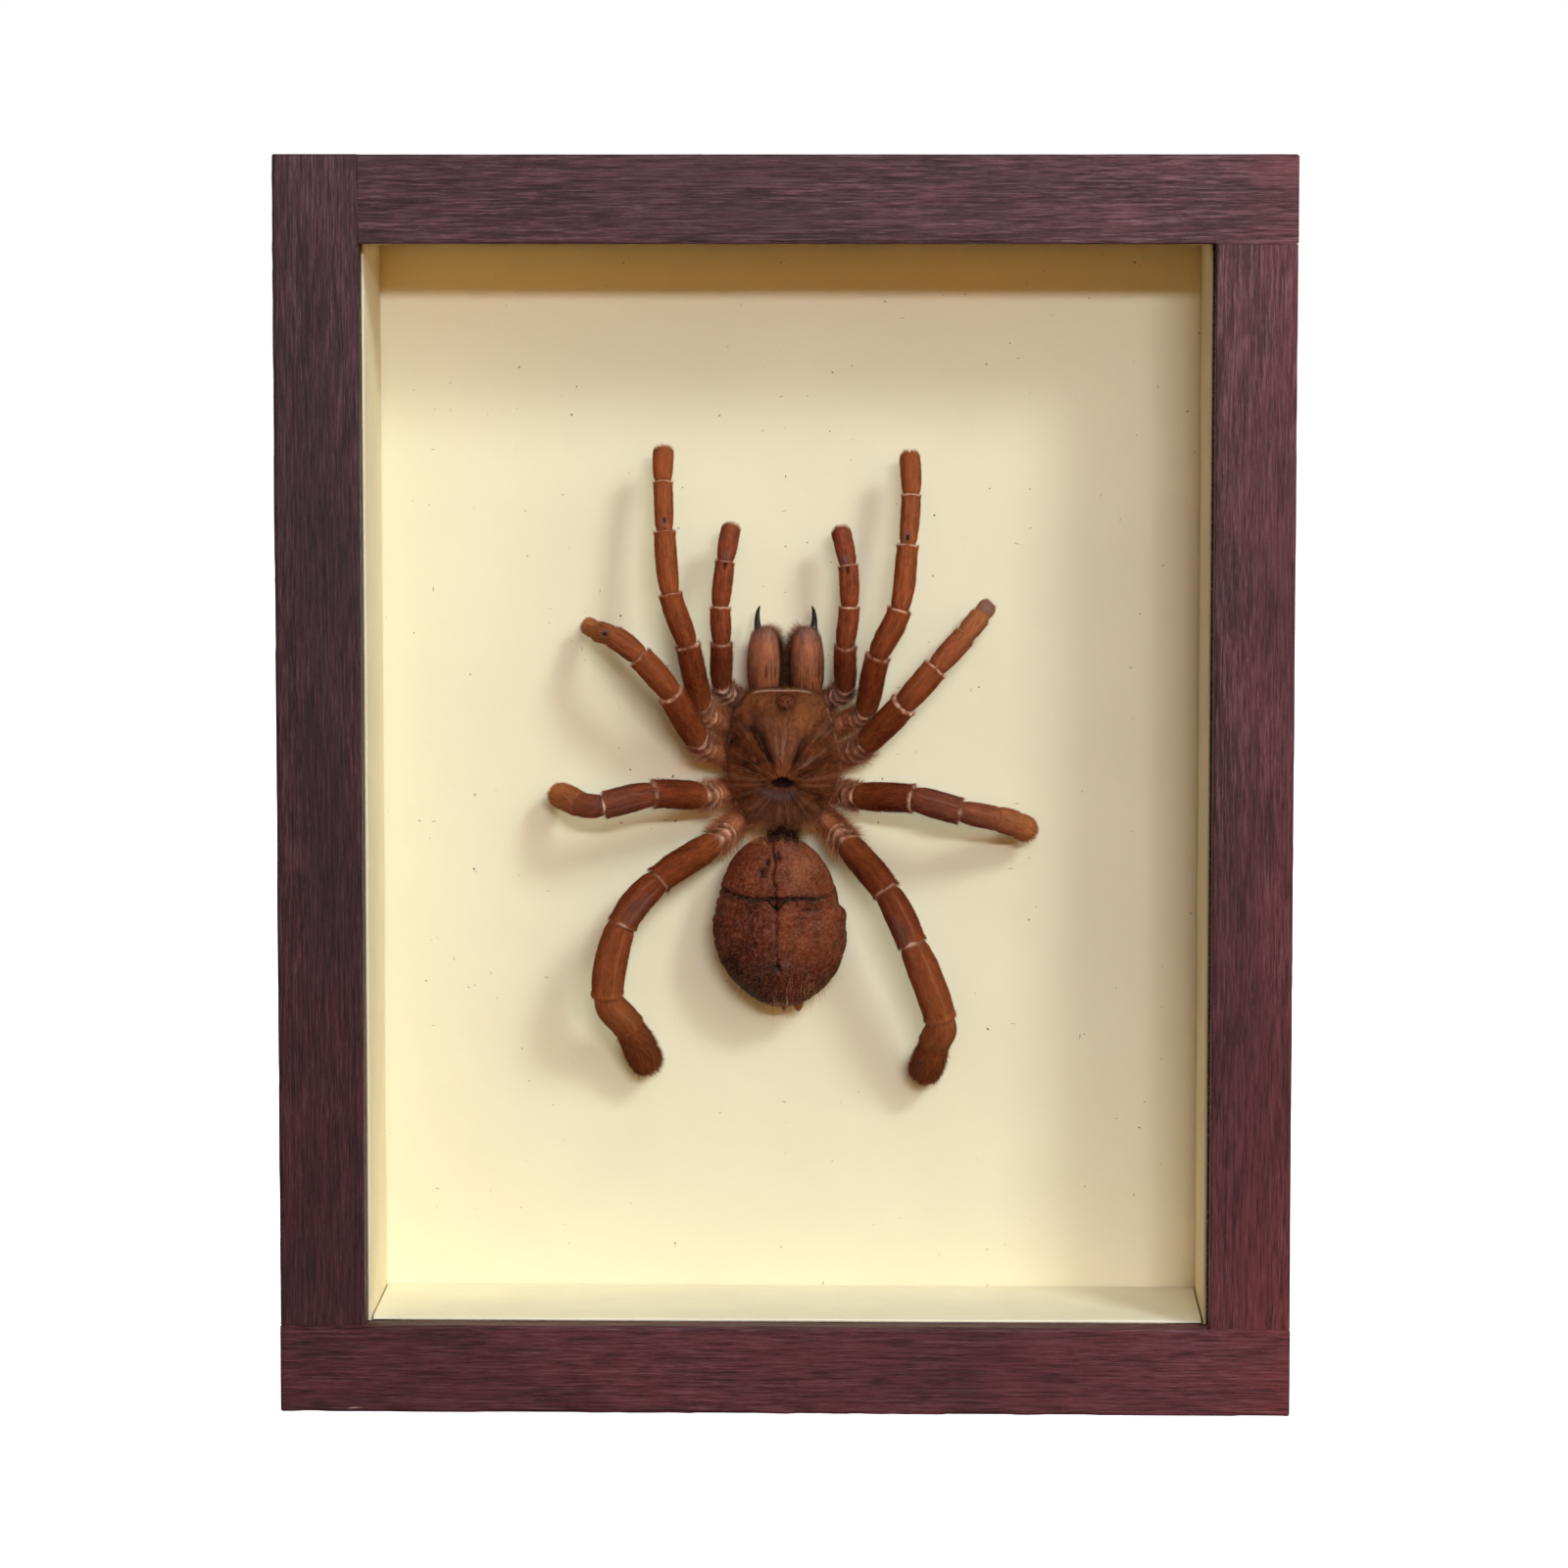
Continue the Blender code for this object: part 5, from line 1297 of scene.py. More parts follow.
def carapace_skin(finish):
    """The carapace with its grooves, fovea and eye tubercle, over the sternum."""
    angles = full_turn(300)[None, :]
    outs = np.linspace(0.0, 1.0, 96)[1:, None] ** 0.92
    u, v, h = carapace_surface(angles, outs)

    # the underside, from the rim in to the sternum
    under = np.linspace(0.0, 1.0, 26)[1:-1, None]
    share = np.interp(under, BELOW_RIM[:, 0], BELOW_RIM[:, 1])
    tall = np.interp(under, BELOW_RIM[:, 0], BELOW_RIM[:, 2])
    rim_u, rim_v, rim_h = carapace_surface(angles, np.ones((1, 1)))
    low_u = CARAPACE_MID + (rim_u - CARAPACE_MID) * share
    low_v = FOVEA_V + (rim_v - FOVEA_V) * share
    low_h = GAP + (rim_h - GAP) * tall + 0.0 * low_u
    points = np.concatenate([vectors(u, v, h), vectors(low_u, low_v, low_h)])
    out = np.concatenate([outs, 1.0 + under]) + 0.0 * points[..., 0]
    angle = angles + 0.0 * out
    reach = np.hypot(points[..., 0] - CARAPACE_MID, points[..., 1] - FOVEA_V)
    u, v = points[..., 0], points[..., 1]

    # patterns and regions
    degrees = np.degrees(np.abs(angle))
    on_top = out <= 1.0
    lie = vectors(np.cos(angle) * 8.0, np.sin(angle) * 8.0, reach * 2.2)
    cloud = mottled(u * 0.42, v * 0.42, 3, 21)
    fine = mottled(u * 1.7, v * 1.7, 3, 22, 0.75)
    strands = layered(vectors(np.cos(angle) * 16, np.sin(angle) * 16, reach * 0.3), 3, 23, 0.7)
    forehead = ramp(v, 12.8, 15.8)
    side = ramp(degrees, 24.5, 31.0) * (1.0 - 0.75 * forehead)
    wander = 1.6 * mottled(u * 0.5, v * 0.5, 2, 24)
    grooves = 1.25 * hump(degrees + wander, 26.5 - 2.5 * out, 3.6) + 0.8 * hump(
        degrees - wander, 33.0 - 4.0 * out, 2.0)
    grooves = grooves * ramp(out, 0.16, 0.26) * (1 - ramp(out, 0.55, 0.82))
    grooves = grooves + (0.2 * hump(degrees, 70, 6) + 0.2 * hump(degrees, 112, 6)) \
        * ramp(out, 0.14, 0.28) * (1 - ramp(out, 0.7, 0.96))
    caput = (1.0 - ramp(degrees, 21.0, 28.0)) * ramp(v, 3.5, 7.0)
    ragged = 1.0 + 0.3 * mottled(u * 1.4, v * 1.4, 2, 8)
    pit = 1.0 - ramp(np.hypot(u - CARAPACE_MID, (v - FOVEA_V + 0.1 * np.abs(u) ** 1.4) * 2.6)
                     * ragged, 1.9, 3.3)
    rear = ramp(-v, 1.0, 6.5) * (1.0 - ramp(degrees, 170.0, 90.0))
    lower_lobe = hump(degrees, 88.0, 20.0) * ramp(out, 0.35, 0.6)
    corners = ramp(np.abs(u), 5.4, 7.6) * ramp(v, 15.5, 17.5)

    # dark, grey and orange parts, with painted shade on the front rim, underneath and in the pit
    dark = (0.50 + 0.35 * cloud + 0.62 * fine + 0.12 * strands) * side
    dark = dark * (1 - 0.45 * rear) * (1 - 0.45 * lower_lobe)
    dark = dark + (0.12 + 0.5 * np.clip(strands, 0, 1)) * caput + 0.32 * forehead
    dark = dark + 0.28 * rear + 0.12 * corners
    dark = np.clip(dark + 0.75 * grooves, 0.0, 0.95)
    shaded = hump(v, FOVEA_V - 3.0 + 0.05 * (u - CARAPACE_MID) ** 2, 2.6) \
        * (1.0 - ramp(np.abs(u - CARAPACE_MID + 0.4), 3.0, 7.0)) * on_top
    dark = np.maximum(dark, 0.72 * shaded)
    crescent = hump(v, FOVEA_V - 2.7 + 0.07 * (u - CARAPACE_MID) ** 2, 1.1) \
        * (1.0 - ramp(np.abs(u - CARAPACE_MID + 0.8), 2.0, 5.0)) * on_top
    grey = np.clip(0.95 * crescent, 0, 1)
    right_brow = hump(u, 4.9, 3.2) * hump(v, 13.6, 4.2)
    left_brow = hump(u, -4.4, 4.5) * hump(v, 17.0, 2.6)
    orange = np.clip(right_brow + 0.6 * left_brow, 0, 1)
    behind = ramp(out, 0.84, 0.98) * ramp(degrees, 132, 150)
    ember = np.clip((0.50 * right_brow + 0.22 * left_brow + 0.12 * forehead + 0.12 * rear
                     + 0.3 * ramp(fine, 0.15, 0.4) * side + 0.22 * corners + 0.4 * behind)
                    * (0.8 + 0.4 * fine), 0, 1)
    dark = dark * (1.0 - 0.75 * orange) * (1 - crescent) + 0.42 * crescent
    dark = dark * (1.0 - 0.6 * behind)
    # painted shade: the rounded front rim and the underside are darkened
    dark = np.maximum(dark, 0.55 * ramp(out, 0.95, 0.97) * (v > 12) + 0.15 * (out > 1.0))
    # the fovea's pit is painted dark: its own dark colour and painted shade in the hollow
    dark = np.maximum(dark, pit)

    # pale strands and edges
    spokes = ramp(noise(vectors(np.cos(angle) * 15, np.sin(angle) * 15, reach * 0.15), 31), .6, .8)
    pale = (0.04 + 0.12 * np.clip(-strands, 0, 1)) * caput * (1 - 0.8 * orange) * (1 - forehead)
    pale = pale + 0.13 * spokes * hump(out, 0.33, 0.2) * (degrees < 62)
    pale = pale + 0.06 * spokes * ramp(out, .25, .45) * side
    brow_line = hump(out, 0.972, 0.007) * (1.0 - ramp(np.abs(u), 5.0, 6.4)) * (v > 10)
    side_line = hump(out, 0.985, 0.014) * (degrees > 30) * np.clip(0.5 + 2.5 * fine, 0, 1)
    pale = np.clip(pale + 0.5 * brow_line + 0.04 * rear + 0.3 * side_line, 0, 0.8)
    pale = np.clip(pale * (1 - pit), 0, 0.8)

    # the eye tubercle
    from_eyes = from_tubercle(u, v)
    on_tubercle = 1.0 - ramp(from_eyes, 0.9, 1.1)
    dark = np.clip(dark * (1 - 0.5 * on_tubercle) + 0.42 * hump(from_eyes, 1.06, 0.16), 0, 0.95)
    dark = np.maximum(dark, 0.5 * on_tubercle)
    ember, pale = np.maximum(ember, 0.2 * on_tubercle), pale * (1 - on_tubercle)

    # how the hairs lie
    outward = vectors(np.sin(angle), np.cos(angle), 0.0 * angle)
    swirl = 0.5 * mottled(u * 0.35, v * 0.35, 2, 41)
    comb = outward + swirl[..., None] * vectors(np.cos(angle), -np.sin(angle), 0 * angle)
    side_edge = hump(out, 1.02, 0.09) * (1.0 - ramp(v, 16.0, 18.0))
    tail = hump(out, 1.02, 0.1) * ramp(degrees, 138, 150)
    front = ramp(v, 15.5, 18.5)
    masks = {
        "lie": lie, "dark": dark, "grey": grey, "ember": ember, "pale": pale,
        "comb": to_world(unit(comb)),
        "coat_share": np.clip(1.0 - 0.9 * on_tubercle, 0, 1)
        * np.where(out > 1.4, 0.0, 1.0),
        "coat_length": (1.0 - 0.35 * front) * (1 - 0.35 * ramp(out, 0.8, 0.97) * (1 - front)),
        "bristle_share": (0.22 + 1.6 * side_edge + 1.4 * rear * on_top + 7.0 * tail)
        * np.where(out > 1.25, 0.0, 1.0) * (1 - front) * (1 - on_tubercle),
        "bristle_length": (0.55 + 0.1 * side_edge + 0.15 * rear
                           + 0.75 * tail * ramp(np.abs(u), 3.0, 6.0)),
        "ruffle": 1.0 + 2.0 * side_edge + 1.2 * rear + 1.4 * tail}
    ends = ((CARAPACE_MID, FOVEA_V, points[0, :, 2].mean() - 0.02), (CARAPACE_MID, FOVEA_V, GAP))
    return lofted("cephalothorax_skin", points, ends, masks, finish, "carapace_fur",
                  "cephalothorax")


def eye_tree():
    """A tree that sets a glossy ball on each point, as large as the point says."""
    tree, start, end = new_tree("eye_balls", (
        ("Geometry", "Geometry", None), ("Detail", "Int", 3), ("Finish", "Material", None)))
    ball = put(tree, "GeometryNodeMeshIcoSphere", {
        "Radius": 1.0, "Subdivisions": start.outputs["Detail"]})
    balls = put(tree, "GeometryNodeInstanceOnPoints", {
        "Points": start.outputs["Geometry"], "Instance": ball.outputs[0],
        "Scale": named(tree, "size")})
    real = put(tree, "GeometryNodeRealizeInstances", {"Geometry": balls.outputs[0]})
    soft = put(tree, "GeometryNodeSetShadeSmooth", {"Geometry": real.outputs[0]})
    done = put(tree, "GeometryNodeSetMaterial", {
        "Geometry": soft.outputs[0], "Material": start.outputs["Finish"]})
    tree.links.new(done.outputs[0], end.inputs[0])
    return tree


def eyes(finish):
    """The eight small eyes on their tubercle."""
    rows = []
    for du, dv, radius in EYES:
        u, v = CARAPACE_MID + EYE_TUBERCLE[0] + du, EYE_TUBERCLE[1] + dv
        offset_u, offset_v = u - CARAPACE_MID, v - FOVEA_V
        angle = np.array([[math.atan2(offset_u, offset_v)]])
        out = np.array([[math.hypot(offset_u, offset_v)]]) / rim_reach(angle)
        h = float(carapace_surface(angle, out)[2][0, 0])
        rows.append((u, v, h - radius * 0.25))
    mesh = bpy.data.meshes.new("eye_places")
    mesh.from_pydata(on_board(np.array(rows)).tolist(), [], [])
    add_masks(mesh, {"size": np.array([radius * MM for _, _, radius in EYES])})
    carrier = place("eye_places", mesh, [])
    piece = apply_tree(eye_tree(), carrier, "eyes", {"Detail": 3, "Finish": finish})
    bpy.data.objects.remove(carrier)
    settle(piece, "fang_horn")


class OBJECT_OT_cephalothorax(bpy.types.Operator):
    """Make the carapace, its fur and the eyes"""
    bl_idname = "specimen.cephalothorax"
    bl_label = "Cephalothorax"

    def execute(self, context):
        settings = context.scene.specimen
        umber = (0.205, 0.0555, 0.0165)
        skin = carapace_skin(skin_finish("skin_of_carapace", umber, 0.6, 0.7, 0.08))
        coat = fur_finish("coat_of_carapace", times(umber, 1.1), 0.7, (0.48, 0.19, 0.065), 0.3)
        grow_fur(skin, "cephalothorax_fur", coat, "carapace_fur", **{
            "Coat Length": 0.0008, "Coat Lean": 0.88, "Coat Density": 2.8e7,
            "Bristle Density": 2.2e6, "Seed": settings.seed + 200})
        eyes(bpy.data.materials.get("polished_horn") or horn())
        return {"FINISHED"}


# ------------------------------------------------------------------------------------- the abdomen

ABDOMEN_MID = -0.4
ABDOMEN_WIDEST_V = -30.0
ABDOMEN_HALF_WIDTH = 13.3
ABDOMEN_FRONT = 19.8
ABDOMEN_BACK = 15.1
ABDOMEN_FULLNESS = 1.85
ABDOMEN_LEAN = 0.04
ABDOMEN_HEIGHT = 16.4
CREASE_V = -21.8


def abdomen_skin(finish):
    """The dried abdomen: creased across, grooved along, wrinkled and pitted."""
    rows, around = 210, 340
    share = np.concatenate([np.linspace(0.0, math.pi, rows + 2)[1:-1],
                            np.linspace(1.05, 1.21, 30)])     # closer rows at the crease
    share = np.sort(share)[:, None]
    angle = full_turn(around)[None, :]
    z = np.cos(share)
    reach = np.where(z > 0, ABDOMEN_FRONT, ABDOMEN_BACK)
    v = ABDOMEN_WIDEST_V + reach * z + 0.0 * angle
    fullness = ABDOMEN_FULLNESS + 0.25 * ramp(z, 0.3, 0.9)
    full = (1.0 - np.abs(z) ** fullness) ** (1.0 / fullness) + 0.0 * angle
    top = np.clip(np.cos(angle), 0.0, 1.0)
    lean = ABDOMEN_LEAN * (ABDOMEN_WIDEST_V - v)
    u = ABDOMEN_MID + lean - 0.8 * top + ABDOMEN_HALF_WIDTH * full * np.sin(angle)
    h = GAP + (ABDOMEN_HEIGHT - GAP) / 2 * (1.0 + full ** 0.7 * np.cos(angle))
    upper = np.cos(angle) > 0.1
    sheet = vectors(u, v, h)

    # one crease across, one groove along with a ridge beside it, and a notch where they meet
    wobble = mottled(u * 0.5, 0 * u, 3, 51)
    crease_v = CREASE_V - 0.5 + 1.3 * ramp(np.abs(u), 7.0, 12.5) + 0.35 * wobble
    crease = hump(v, crease_v, 0.42) * top ** 0.4 * (0.9 + 0.5 * wobble)
    overhang = ramp(v, crease_v - 1.6, crease_v) * (v < crease_v) * top ** 0.4
    line_u = -0.85 + lean + 0.5 * mottled(0 * u, v * 0.4, 3, 52)
    run = ramp(v, -38.0, -36.3) * (1.0 - ramp(v, -12.0, -10.5)) * upper
    faint = 1.0 - 0.45 * ramp(-v, 24.0, 27.0) * (1.0 - ramp(-v, 33.5, 36.0))
    groove = hump(u, line_u, 0.22) * run * faint
    ridge = hump(u, line_u - 0.75, 0.42) * run * (0.75 + 0.6 * layered(sheet * 0.9, 2, 53))
    du = np.abs(u - line_u)
    vee_v = crease_v - 2.1 * (1.0 - du / 2.2)
    vee = hump(v, vee_v, 0.3) * (du < 2.2) * upper

    # pits and short cracks
    pits = sum(hump(np.hypot(u - pu, (v - pv) / stretch) * (1 + 0.3 * wobble), 0.0, size)
               for pu, pv, size, stretch in (
                   (-4.1, -16.8, 0.8, 1.0), (-2.9, -15.0, 0.5, 1.6), (-0.9, -13.6, 0.7, 1.3),
                   (-1.05, -36.4, 0.7, 1.0), (-1.3, -24.1, 0.6, 0.8))) * upper
    short = hump(v, -24.6 + 0.10 * (u - 5.0), 0.2) * hump(u, 5.6, 1.7)
    short = short + 0.6 * hump(v, -26.8 + 0.1 * u, 0.22) * hump(u, 3.6, 1.1)
    short = (short + 0.7 * hump(v, -18.6 - 0.2 * u, 0.25) * hump(u, -4.0, 1.2)) * upper

    # wrinkles, pebbles and lumps
    folds = 1.0 - np.abs(layered(sheet * 0.8 + layered(sheet * 1.2, 2, 60)[..., None], 2, 61))
    worms = 1.0 - np.abs(layered(sheet * 2.0 + layered(sheet * 2.4, 2, 62)[..., None], 2, 63))
    folds, worms = ramp(folds, 0.75, 1.0), ramp(worms, 0.7, 1.0)
    wrinkled = np.clip(0.3 + 0.9 * hump(u, -5.0, 6.0) * hump(v, -27.5, 6.5)
                       + 0.45 * ramp(np.abs(u), 8.5, 12.0), 0, 1)
    pebbles = layered(sheet * 2.6, 2, 64)
    lumps = layered(sheet * 0.28, 3, 71)
    edge_bumps = 0.45 * mottled(0 * u, v * 0.8, 2, 72) * ramp(-u, 8.0, 12.0) \
        * hump(v, -26.0, 7.0)
    shelf = 0.55 * ramp(u, 9.0, 12.0) * (ramp(v, -25.2, -24.2) - 0.6 * hump(v, -26.3, 1.1))
    push = (-0.85 * crease - 0.75 * groove + 0.22 * ridge - 0.6 * vee - 0.85 * pits - 0.4 * short
            + 0.4 * overhang + 0.30 * folds * wrinkled + 0.12 * worms + 0.08 * pebbles
            + 0.4 * lumps * full + edge_bumps - shelf)
    normal = unit(vectors(np.sin(angle) * full, 0.55 * z + 0 * angle, np.cos(angle) * full + 0.05))
    points = sheet + normal * push[..., None]
    points[..., 2] = np.maximum(points[..., 2], GAP)

    # colour: a black band at the front, grey ridges, and painted shade and light on the relief and
    # the sides
    lie = vectors(np.cos(angle) * 11.0, np.sin(angle) * 11.0, v)
    fine = layered(sheet * 1.7, 3, 81, 0.7)
    rear = ramp(-v, 31.0, 39.0)
    # a black band at the abdomen's front: dark membrane, with painted shade of the gap behind the
    # carapace
    front_black_and_shade = ramp(v + 1.7 * layered(sheet * 0.7, 3, 83, 0.7) - 0.05 * u * u, -11.8, -11.0)
    tufts = ramp(v, -12.1, -11.4) * (np.cos(angle) > -0.6) \
        * np.clip(0.7 + 1.6 * mottled(u * 0.8, 0 * u, 2, 85), 0, 1.4)
    # painted shade: the left side of the abdomen is darkened
    left_painted_shade = ramp(-u, -1.0, 5.0) * ramp(-v, 23.0, 27.0)
    # painted shade and highlight on the relief: darker in low lumps, lighter on raised wrinkles
    dark = 0.27 + 0.38 * rear + 0.45 * np.clip(-lumps * 1.4, 0, 1) + 0.2 * fine - 0.2 * worms
    # painted highlight on the raised pebbles and folds, and a band of painted shade round the
    # crease
    dark = dark - 0.12 * pebbles - 0.2 * folds * wrinkled \
        + 0.28 * hump(v, crease_v - 0.6, 1.6) * top
    # painted shade in the crease, the groove, the notch, the pits and the cracks
    dark = dark + 0.26 * left_painted_shade + 0.9 * crease + 0.55 * groove + 0.8 * pits + 0.6 * short \
        + 0.7 * vee + front_black_and_shade
    dark = np.where(np.cos(angle) < -0.1, 0.4, dark)
    # the grey on the raised folds is a painted highlight
    grey = np.clip(0.2 * ridge + 0.28 * hump(np.hypot(u + 3.1, v + 36.2), 0, 1.4)
                   + 0.28 * hump(np.hypot(u - 0.9, v + 36.0), 0, 1.4)
                   + 0.12 * folds * wrinkled
                   + 0.25 * hump(u, 1.6, 2.0) * hump(v, -12.0, 1.0), 0, 0.9)
    # painted light: more orange on the right of the middle and in a patch at its right front
    ember = np.clip(0.04 + 0.3 * fine + 0.22 * hump(u, 4.2, 3.2) * hump(v, -16.0, 2.6)
                    + 0.05 * ramp(u, 0.0, 3.0), 0, 0.4) * (1 - rear) * (1 - 0.7 * left_painted_shade)

    # how the hairs lie
    away = unit(vectors(u * (0.45 + 1.5 * tufts), v - ABDOMEN_WIDEST_V - 9.0, 0.0 * u))
    fringe = ramp(-v, 35.5, 39.5) * np.clip(np.cos(angle) * 2 + 1.2, 0, 1)
    masks = {
        "lie": lie, "dark": np.clip(dark, 0, 0.97), "grey": grey, "ember": ember,
        "pale": np.clip(0.05 * worms + 0.2 * ramp(-v, 43.4, 45.0), 0, 0.6),
        "comb": to_world(away),
        "coat_share": (0.5 + 0.4 * rear) * (1 - ramp(hump(v, crease_v, 1.1), 0.1, 0.35))
        * (np.cos(angle) > -0.5),
        "coat_length": 0.6 - 0.1 * rear,
        "bristle_share": (0.01 + 0.2 * fringe) * (np.cos(angle) > -0.6) + 6.0 * tufts,
        "bristle_length": 0.6 + 0.6 * fringe + 0.2 * (tufts > 0),
        "ruffle": 1.0 + 0.5 * fringe + 1.6 * (tufts > 0)}
    ends = [points[row].mean(0) for row in (0, -1)]
    return lofted("abdomen_skin", points, ends, masks, finish, "abdomen_hide", "abdomen")


SPINNERETS = ((0.4, 0.8), (3.2, 1.1))
PEDICEL_RADII = (2.4, 1.9)


def small_part(name, middles, radii, finish, slot, dark, ember, around=28):
    """A small round part along a line of middles, in one shade of the coat."""
    middles, radii = np.array(middles), np.array(radii)
    way = unit(np.gradient(middles, axis=0))
    side, rise = across_line(way)
    turn = full_turn(around)
    lie = vectors(radii[:, None] * np.cos(turn), radii[:, None] * np.sin(turn),
                  np.arange(len(radii))[:, None] * 0.4)
    ring = radii[:, None] * (1.0 + 0.06 * layered(lie * 1.3, 2, 91))
    points = ringed(middles[:, None], side, rise, ring, turn)
    masks = {"lie": lie, "dark": dark, "grey": 0.0, "ember": ember, "pale": 0.0,
             "comb": to_world(way[:, None]), "coat_share": 1.0, "coat_length": 0.6,
             "bristle_share": 0.6, "bristle_length": 0.6, "ruffle": 1.5}
    ends = (middles[0] - way[0] * 0.02, middles[-1] + way[-1] * 0.02)
    return lofted(name, points, ends, masks, finish, slot)


class OBJECT_OT_abdomen(bpy.types.Operator):
    """Make the abdomen, its stalk, its spinnerets and their hairs"""
    bl_idname = "specimen.abdomen"
    bl_label = "Abdomen"

    def execute(self, context):
        settings = context.scene.specimen
        hide = tuple(settings.hide)
        finish = skin_finish("hide_of_abdomen", hide, 0.52, 0.12, 0.035, 0.08)
        fuzz = fur_finish("fuzz_of_abdomen", hide, 0.3, (0.70, 0.32, 0.12), 0.15)
        skin = abdomen_skin(finish)
        grow_fur(skin, "abdomen_fur", fuzz, "abdomen_hide", **{
            "Coat Density": 1.1e7, "Coat Length": 0.0005, "Coat Width": 0.00003,
            "Bristle Density": 1.8e6, "Bristle Length": 0.0030, "Bristle Lean": 0.86,
            "Bristle Width": 0.000022, "Bristle Bleach": 0.8, "Seed": settings.seed + 300})
        stalk = [(CARAPACE_MID, v, 6.6) for v in np.linspace(-13.5, -6.5, 12)]
        stalk = small_part("pedicel_skin", stalk, np.linspace(*PEDICEL_RADII, 12), finish,
                           "abdomen_hide", 1.0, 0.0)
        grow_fur(stalk, "pedicel_fur", fuzz, "abdomen_hide", **{
            "Bristle Density": 3.4e7, "Bristle Length": 0.0056, "Bristle Lean": 0.05,
            "Bristle Width": 0.00005, "Ruffle": 0.55, "Seed": settings.seed + 310})
        for number, (u, radius) in enumerate(SPINNERETS):
            along = np.linspace(0.0, 1.0, 10)
            path = [(u, -42.6 - 3.6 * share, 7.6) for share in along]
            swell = radius * np.sqrt(np.clip(1.02 - along ** 3, 0.03, 1.0))
            piece = small_part(f"spinneret_{number + 1}_skin", path, swell, finish,
                               "abdomen_hide", 0.15, 0.15 + 0.2 * number)
            grow_fur(piece, f"spinneret_{number + 1}_fur", fuzz, "abdomen_hide",
                     **{"Coat Length": 0.0009, "Seed": settings.seed + 320 + number})
        return {"FINISHED"}


# ------------------------------------------------------------------------------- jaws and fangs

CHELICERA_MIDS = (-3.6, 4.9)
CHELICERA_SIZE = (3.6, 7.2, 4.1)
CHELICERA_V = 24.8
CHELICERA_H = 6.8
CHELICERA_FULLNESS = 3.2
FANG_SWEEP = (
    (0.0, -1.4, 0.9), (0.05, 0.2, 0.95), (0.2, 1.7, 0.8), (0.25, 3.1, 0.62),
    (0.1, 4.4, 0.42), (-0.25, 5.4, 0.16))
FANG_V = 31.0
FANG_DROP = 0.35
FANG_OUT = 1.3


def chelicera_skin(name, side, mid, finish):
    """One chelicera: a full, furrowed lobe with a tufted end."""
    wide, long, tall = CHELICERA_SIZE
    around, rows = 200, 110
    share = np.linspace(0.0, math.pi, rows + 2)[1:-1, None]
    angle = full_turn(around)[None, :]
    z = np.cos(share) + 0.0 * angle
    girth = (1.0 - np.abs(z) ** CHELICERA_FULLNESS) ** (1.0 / CHELICERA_FULLNESS)
    girth = girth * (1.0 - 0.14 * np.clip(z, 0.0, 1.0))
    seed = 100 + (side > 0)
    across = angle * wide
    lines = mottled(across * 1.5, z * long * 0.16, 3, seed, 0.6)
    skin = 0.965 + 0.02 * lines
    u = mid + wide * girth * skin * np.sin(angle)
    v = CHELICERA_V + long * z
    h = CHELICERA_H + tall * girth * skin * np.cos(angle)
    points = vectors(u, v, h)
    lie = vectors(np.cos(angle) * wide, np.sin(angle) * wide, v)
    inner = ramp(-side * np.sin(angle), 0.8, 0.99)
    seams = ramp(noise(vectors(across * 5.5 + 0.4 * np.sin(v * 0.9), v * 0.3, 0 * z), seed + 5),
                 0.55, 0.75) * hump(v, 22.5, 8.0)
    end = ramp(v, 28.5, 31.5)
    below = ramp(-np.cos(angle), -0.35, 0.25) * ramp(np.abs(np.sin(angle)), 0.3, 0.6)
    # paler toward the tip and darker toward the root
    toward_tip = ramp(v, 20.0, 29.0)
    # painted shade: darker on the inner side, facing the other chelicera, and underneath
    dark = 0.45 * seams + 0.8 * inner + 0.7 * below + 0.1 + 0.3 * (1 - toward_tip)
    dark = np.clip(dark, 0, 0.92) * (1 - 0.5 * end)
    pale = np.clip(0.11 * toward_tip + 0.06 * lines, 0, 0.5) * (1 - inner) * (1 - below)
    grey = np.clip(0.05 + 0.55 * end, 0, 0.8)
    inward = 1.4 * below * (-side * np.sin(angle) > 0.3) * np.sign(np.sin(angle))
    forward = vectors(0.10 * np.sin(angle) + inward, 1.0 + 0 * z, 0 * z)
    masks = {
        "lie": lie, "dark": dark, "grey": grey, "ember": 0.3 * (1 - toward_tip) + 0 * z,
        "pale": pale, "comb": to_world(unit(forward)), "coat_share": 1.0 + 0 * z,
        "coat_length": 0.7 + 0.15 * end + 0.2 * inner,
        "bristle_share": 0.1 + 0.6 * end + 0.6 * inner + 11.0 * (np.abs(inward) > 0),
        "bristle_length": 0.42 + 0.05 * end + 0.45 * (np.abs(inward) > 0),
        "ruffle": 1.0 + 1.2 * end + 1.2 * inner}
    ends = [points[row].mean(0) for row in (0, -1)]
    return lofted(name + "_skin", points, ends, masks, finish, "chelicera_fur", name)


def fang(name, side, mid, finish):
    """One black fang, curved to its point."""
    sweep = np.array(FANG_SWEEP)
    steps = np.linspace(0, len(sweep) - 1, 60)
    row = np.minimum(steps.astype(int), len(sweep) - 2)
    fine = np.empty((len(steps), 3))
    for number, (at, start) in enumerate(zip(steps, row)):
        fine[number] = through(sweep, start, np.array([at - start]))[0][0]
    middles = vectors(mid + side * (FANG_OUT + fine[:, 0]), FANG_V + fine[:, 1],
                      CHELICERA_H - FANG_DROP * np.clip(fine[:, 1], 0, None))
    radii = fine[:, 2] * 0.98
    way = unit(np.gradient(middles, axis=0))
    turn = full_turn(28)
    oval = 1.0 - 0.08 * np.abs(np.sin(turn)) + 0.02 * np.cos(2 * turn)
    points = ringed(middles[:, None], *across_line(way), radii[:, None] * oval, turn)
    ends = (middles[0], middles[-1] + way[-1] * 0.12)
    lofted(name + "_horn", points, ends, {}, finish, "fang_horn", name)


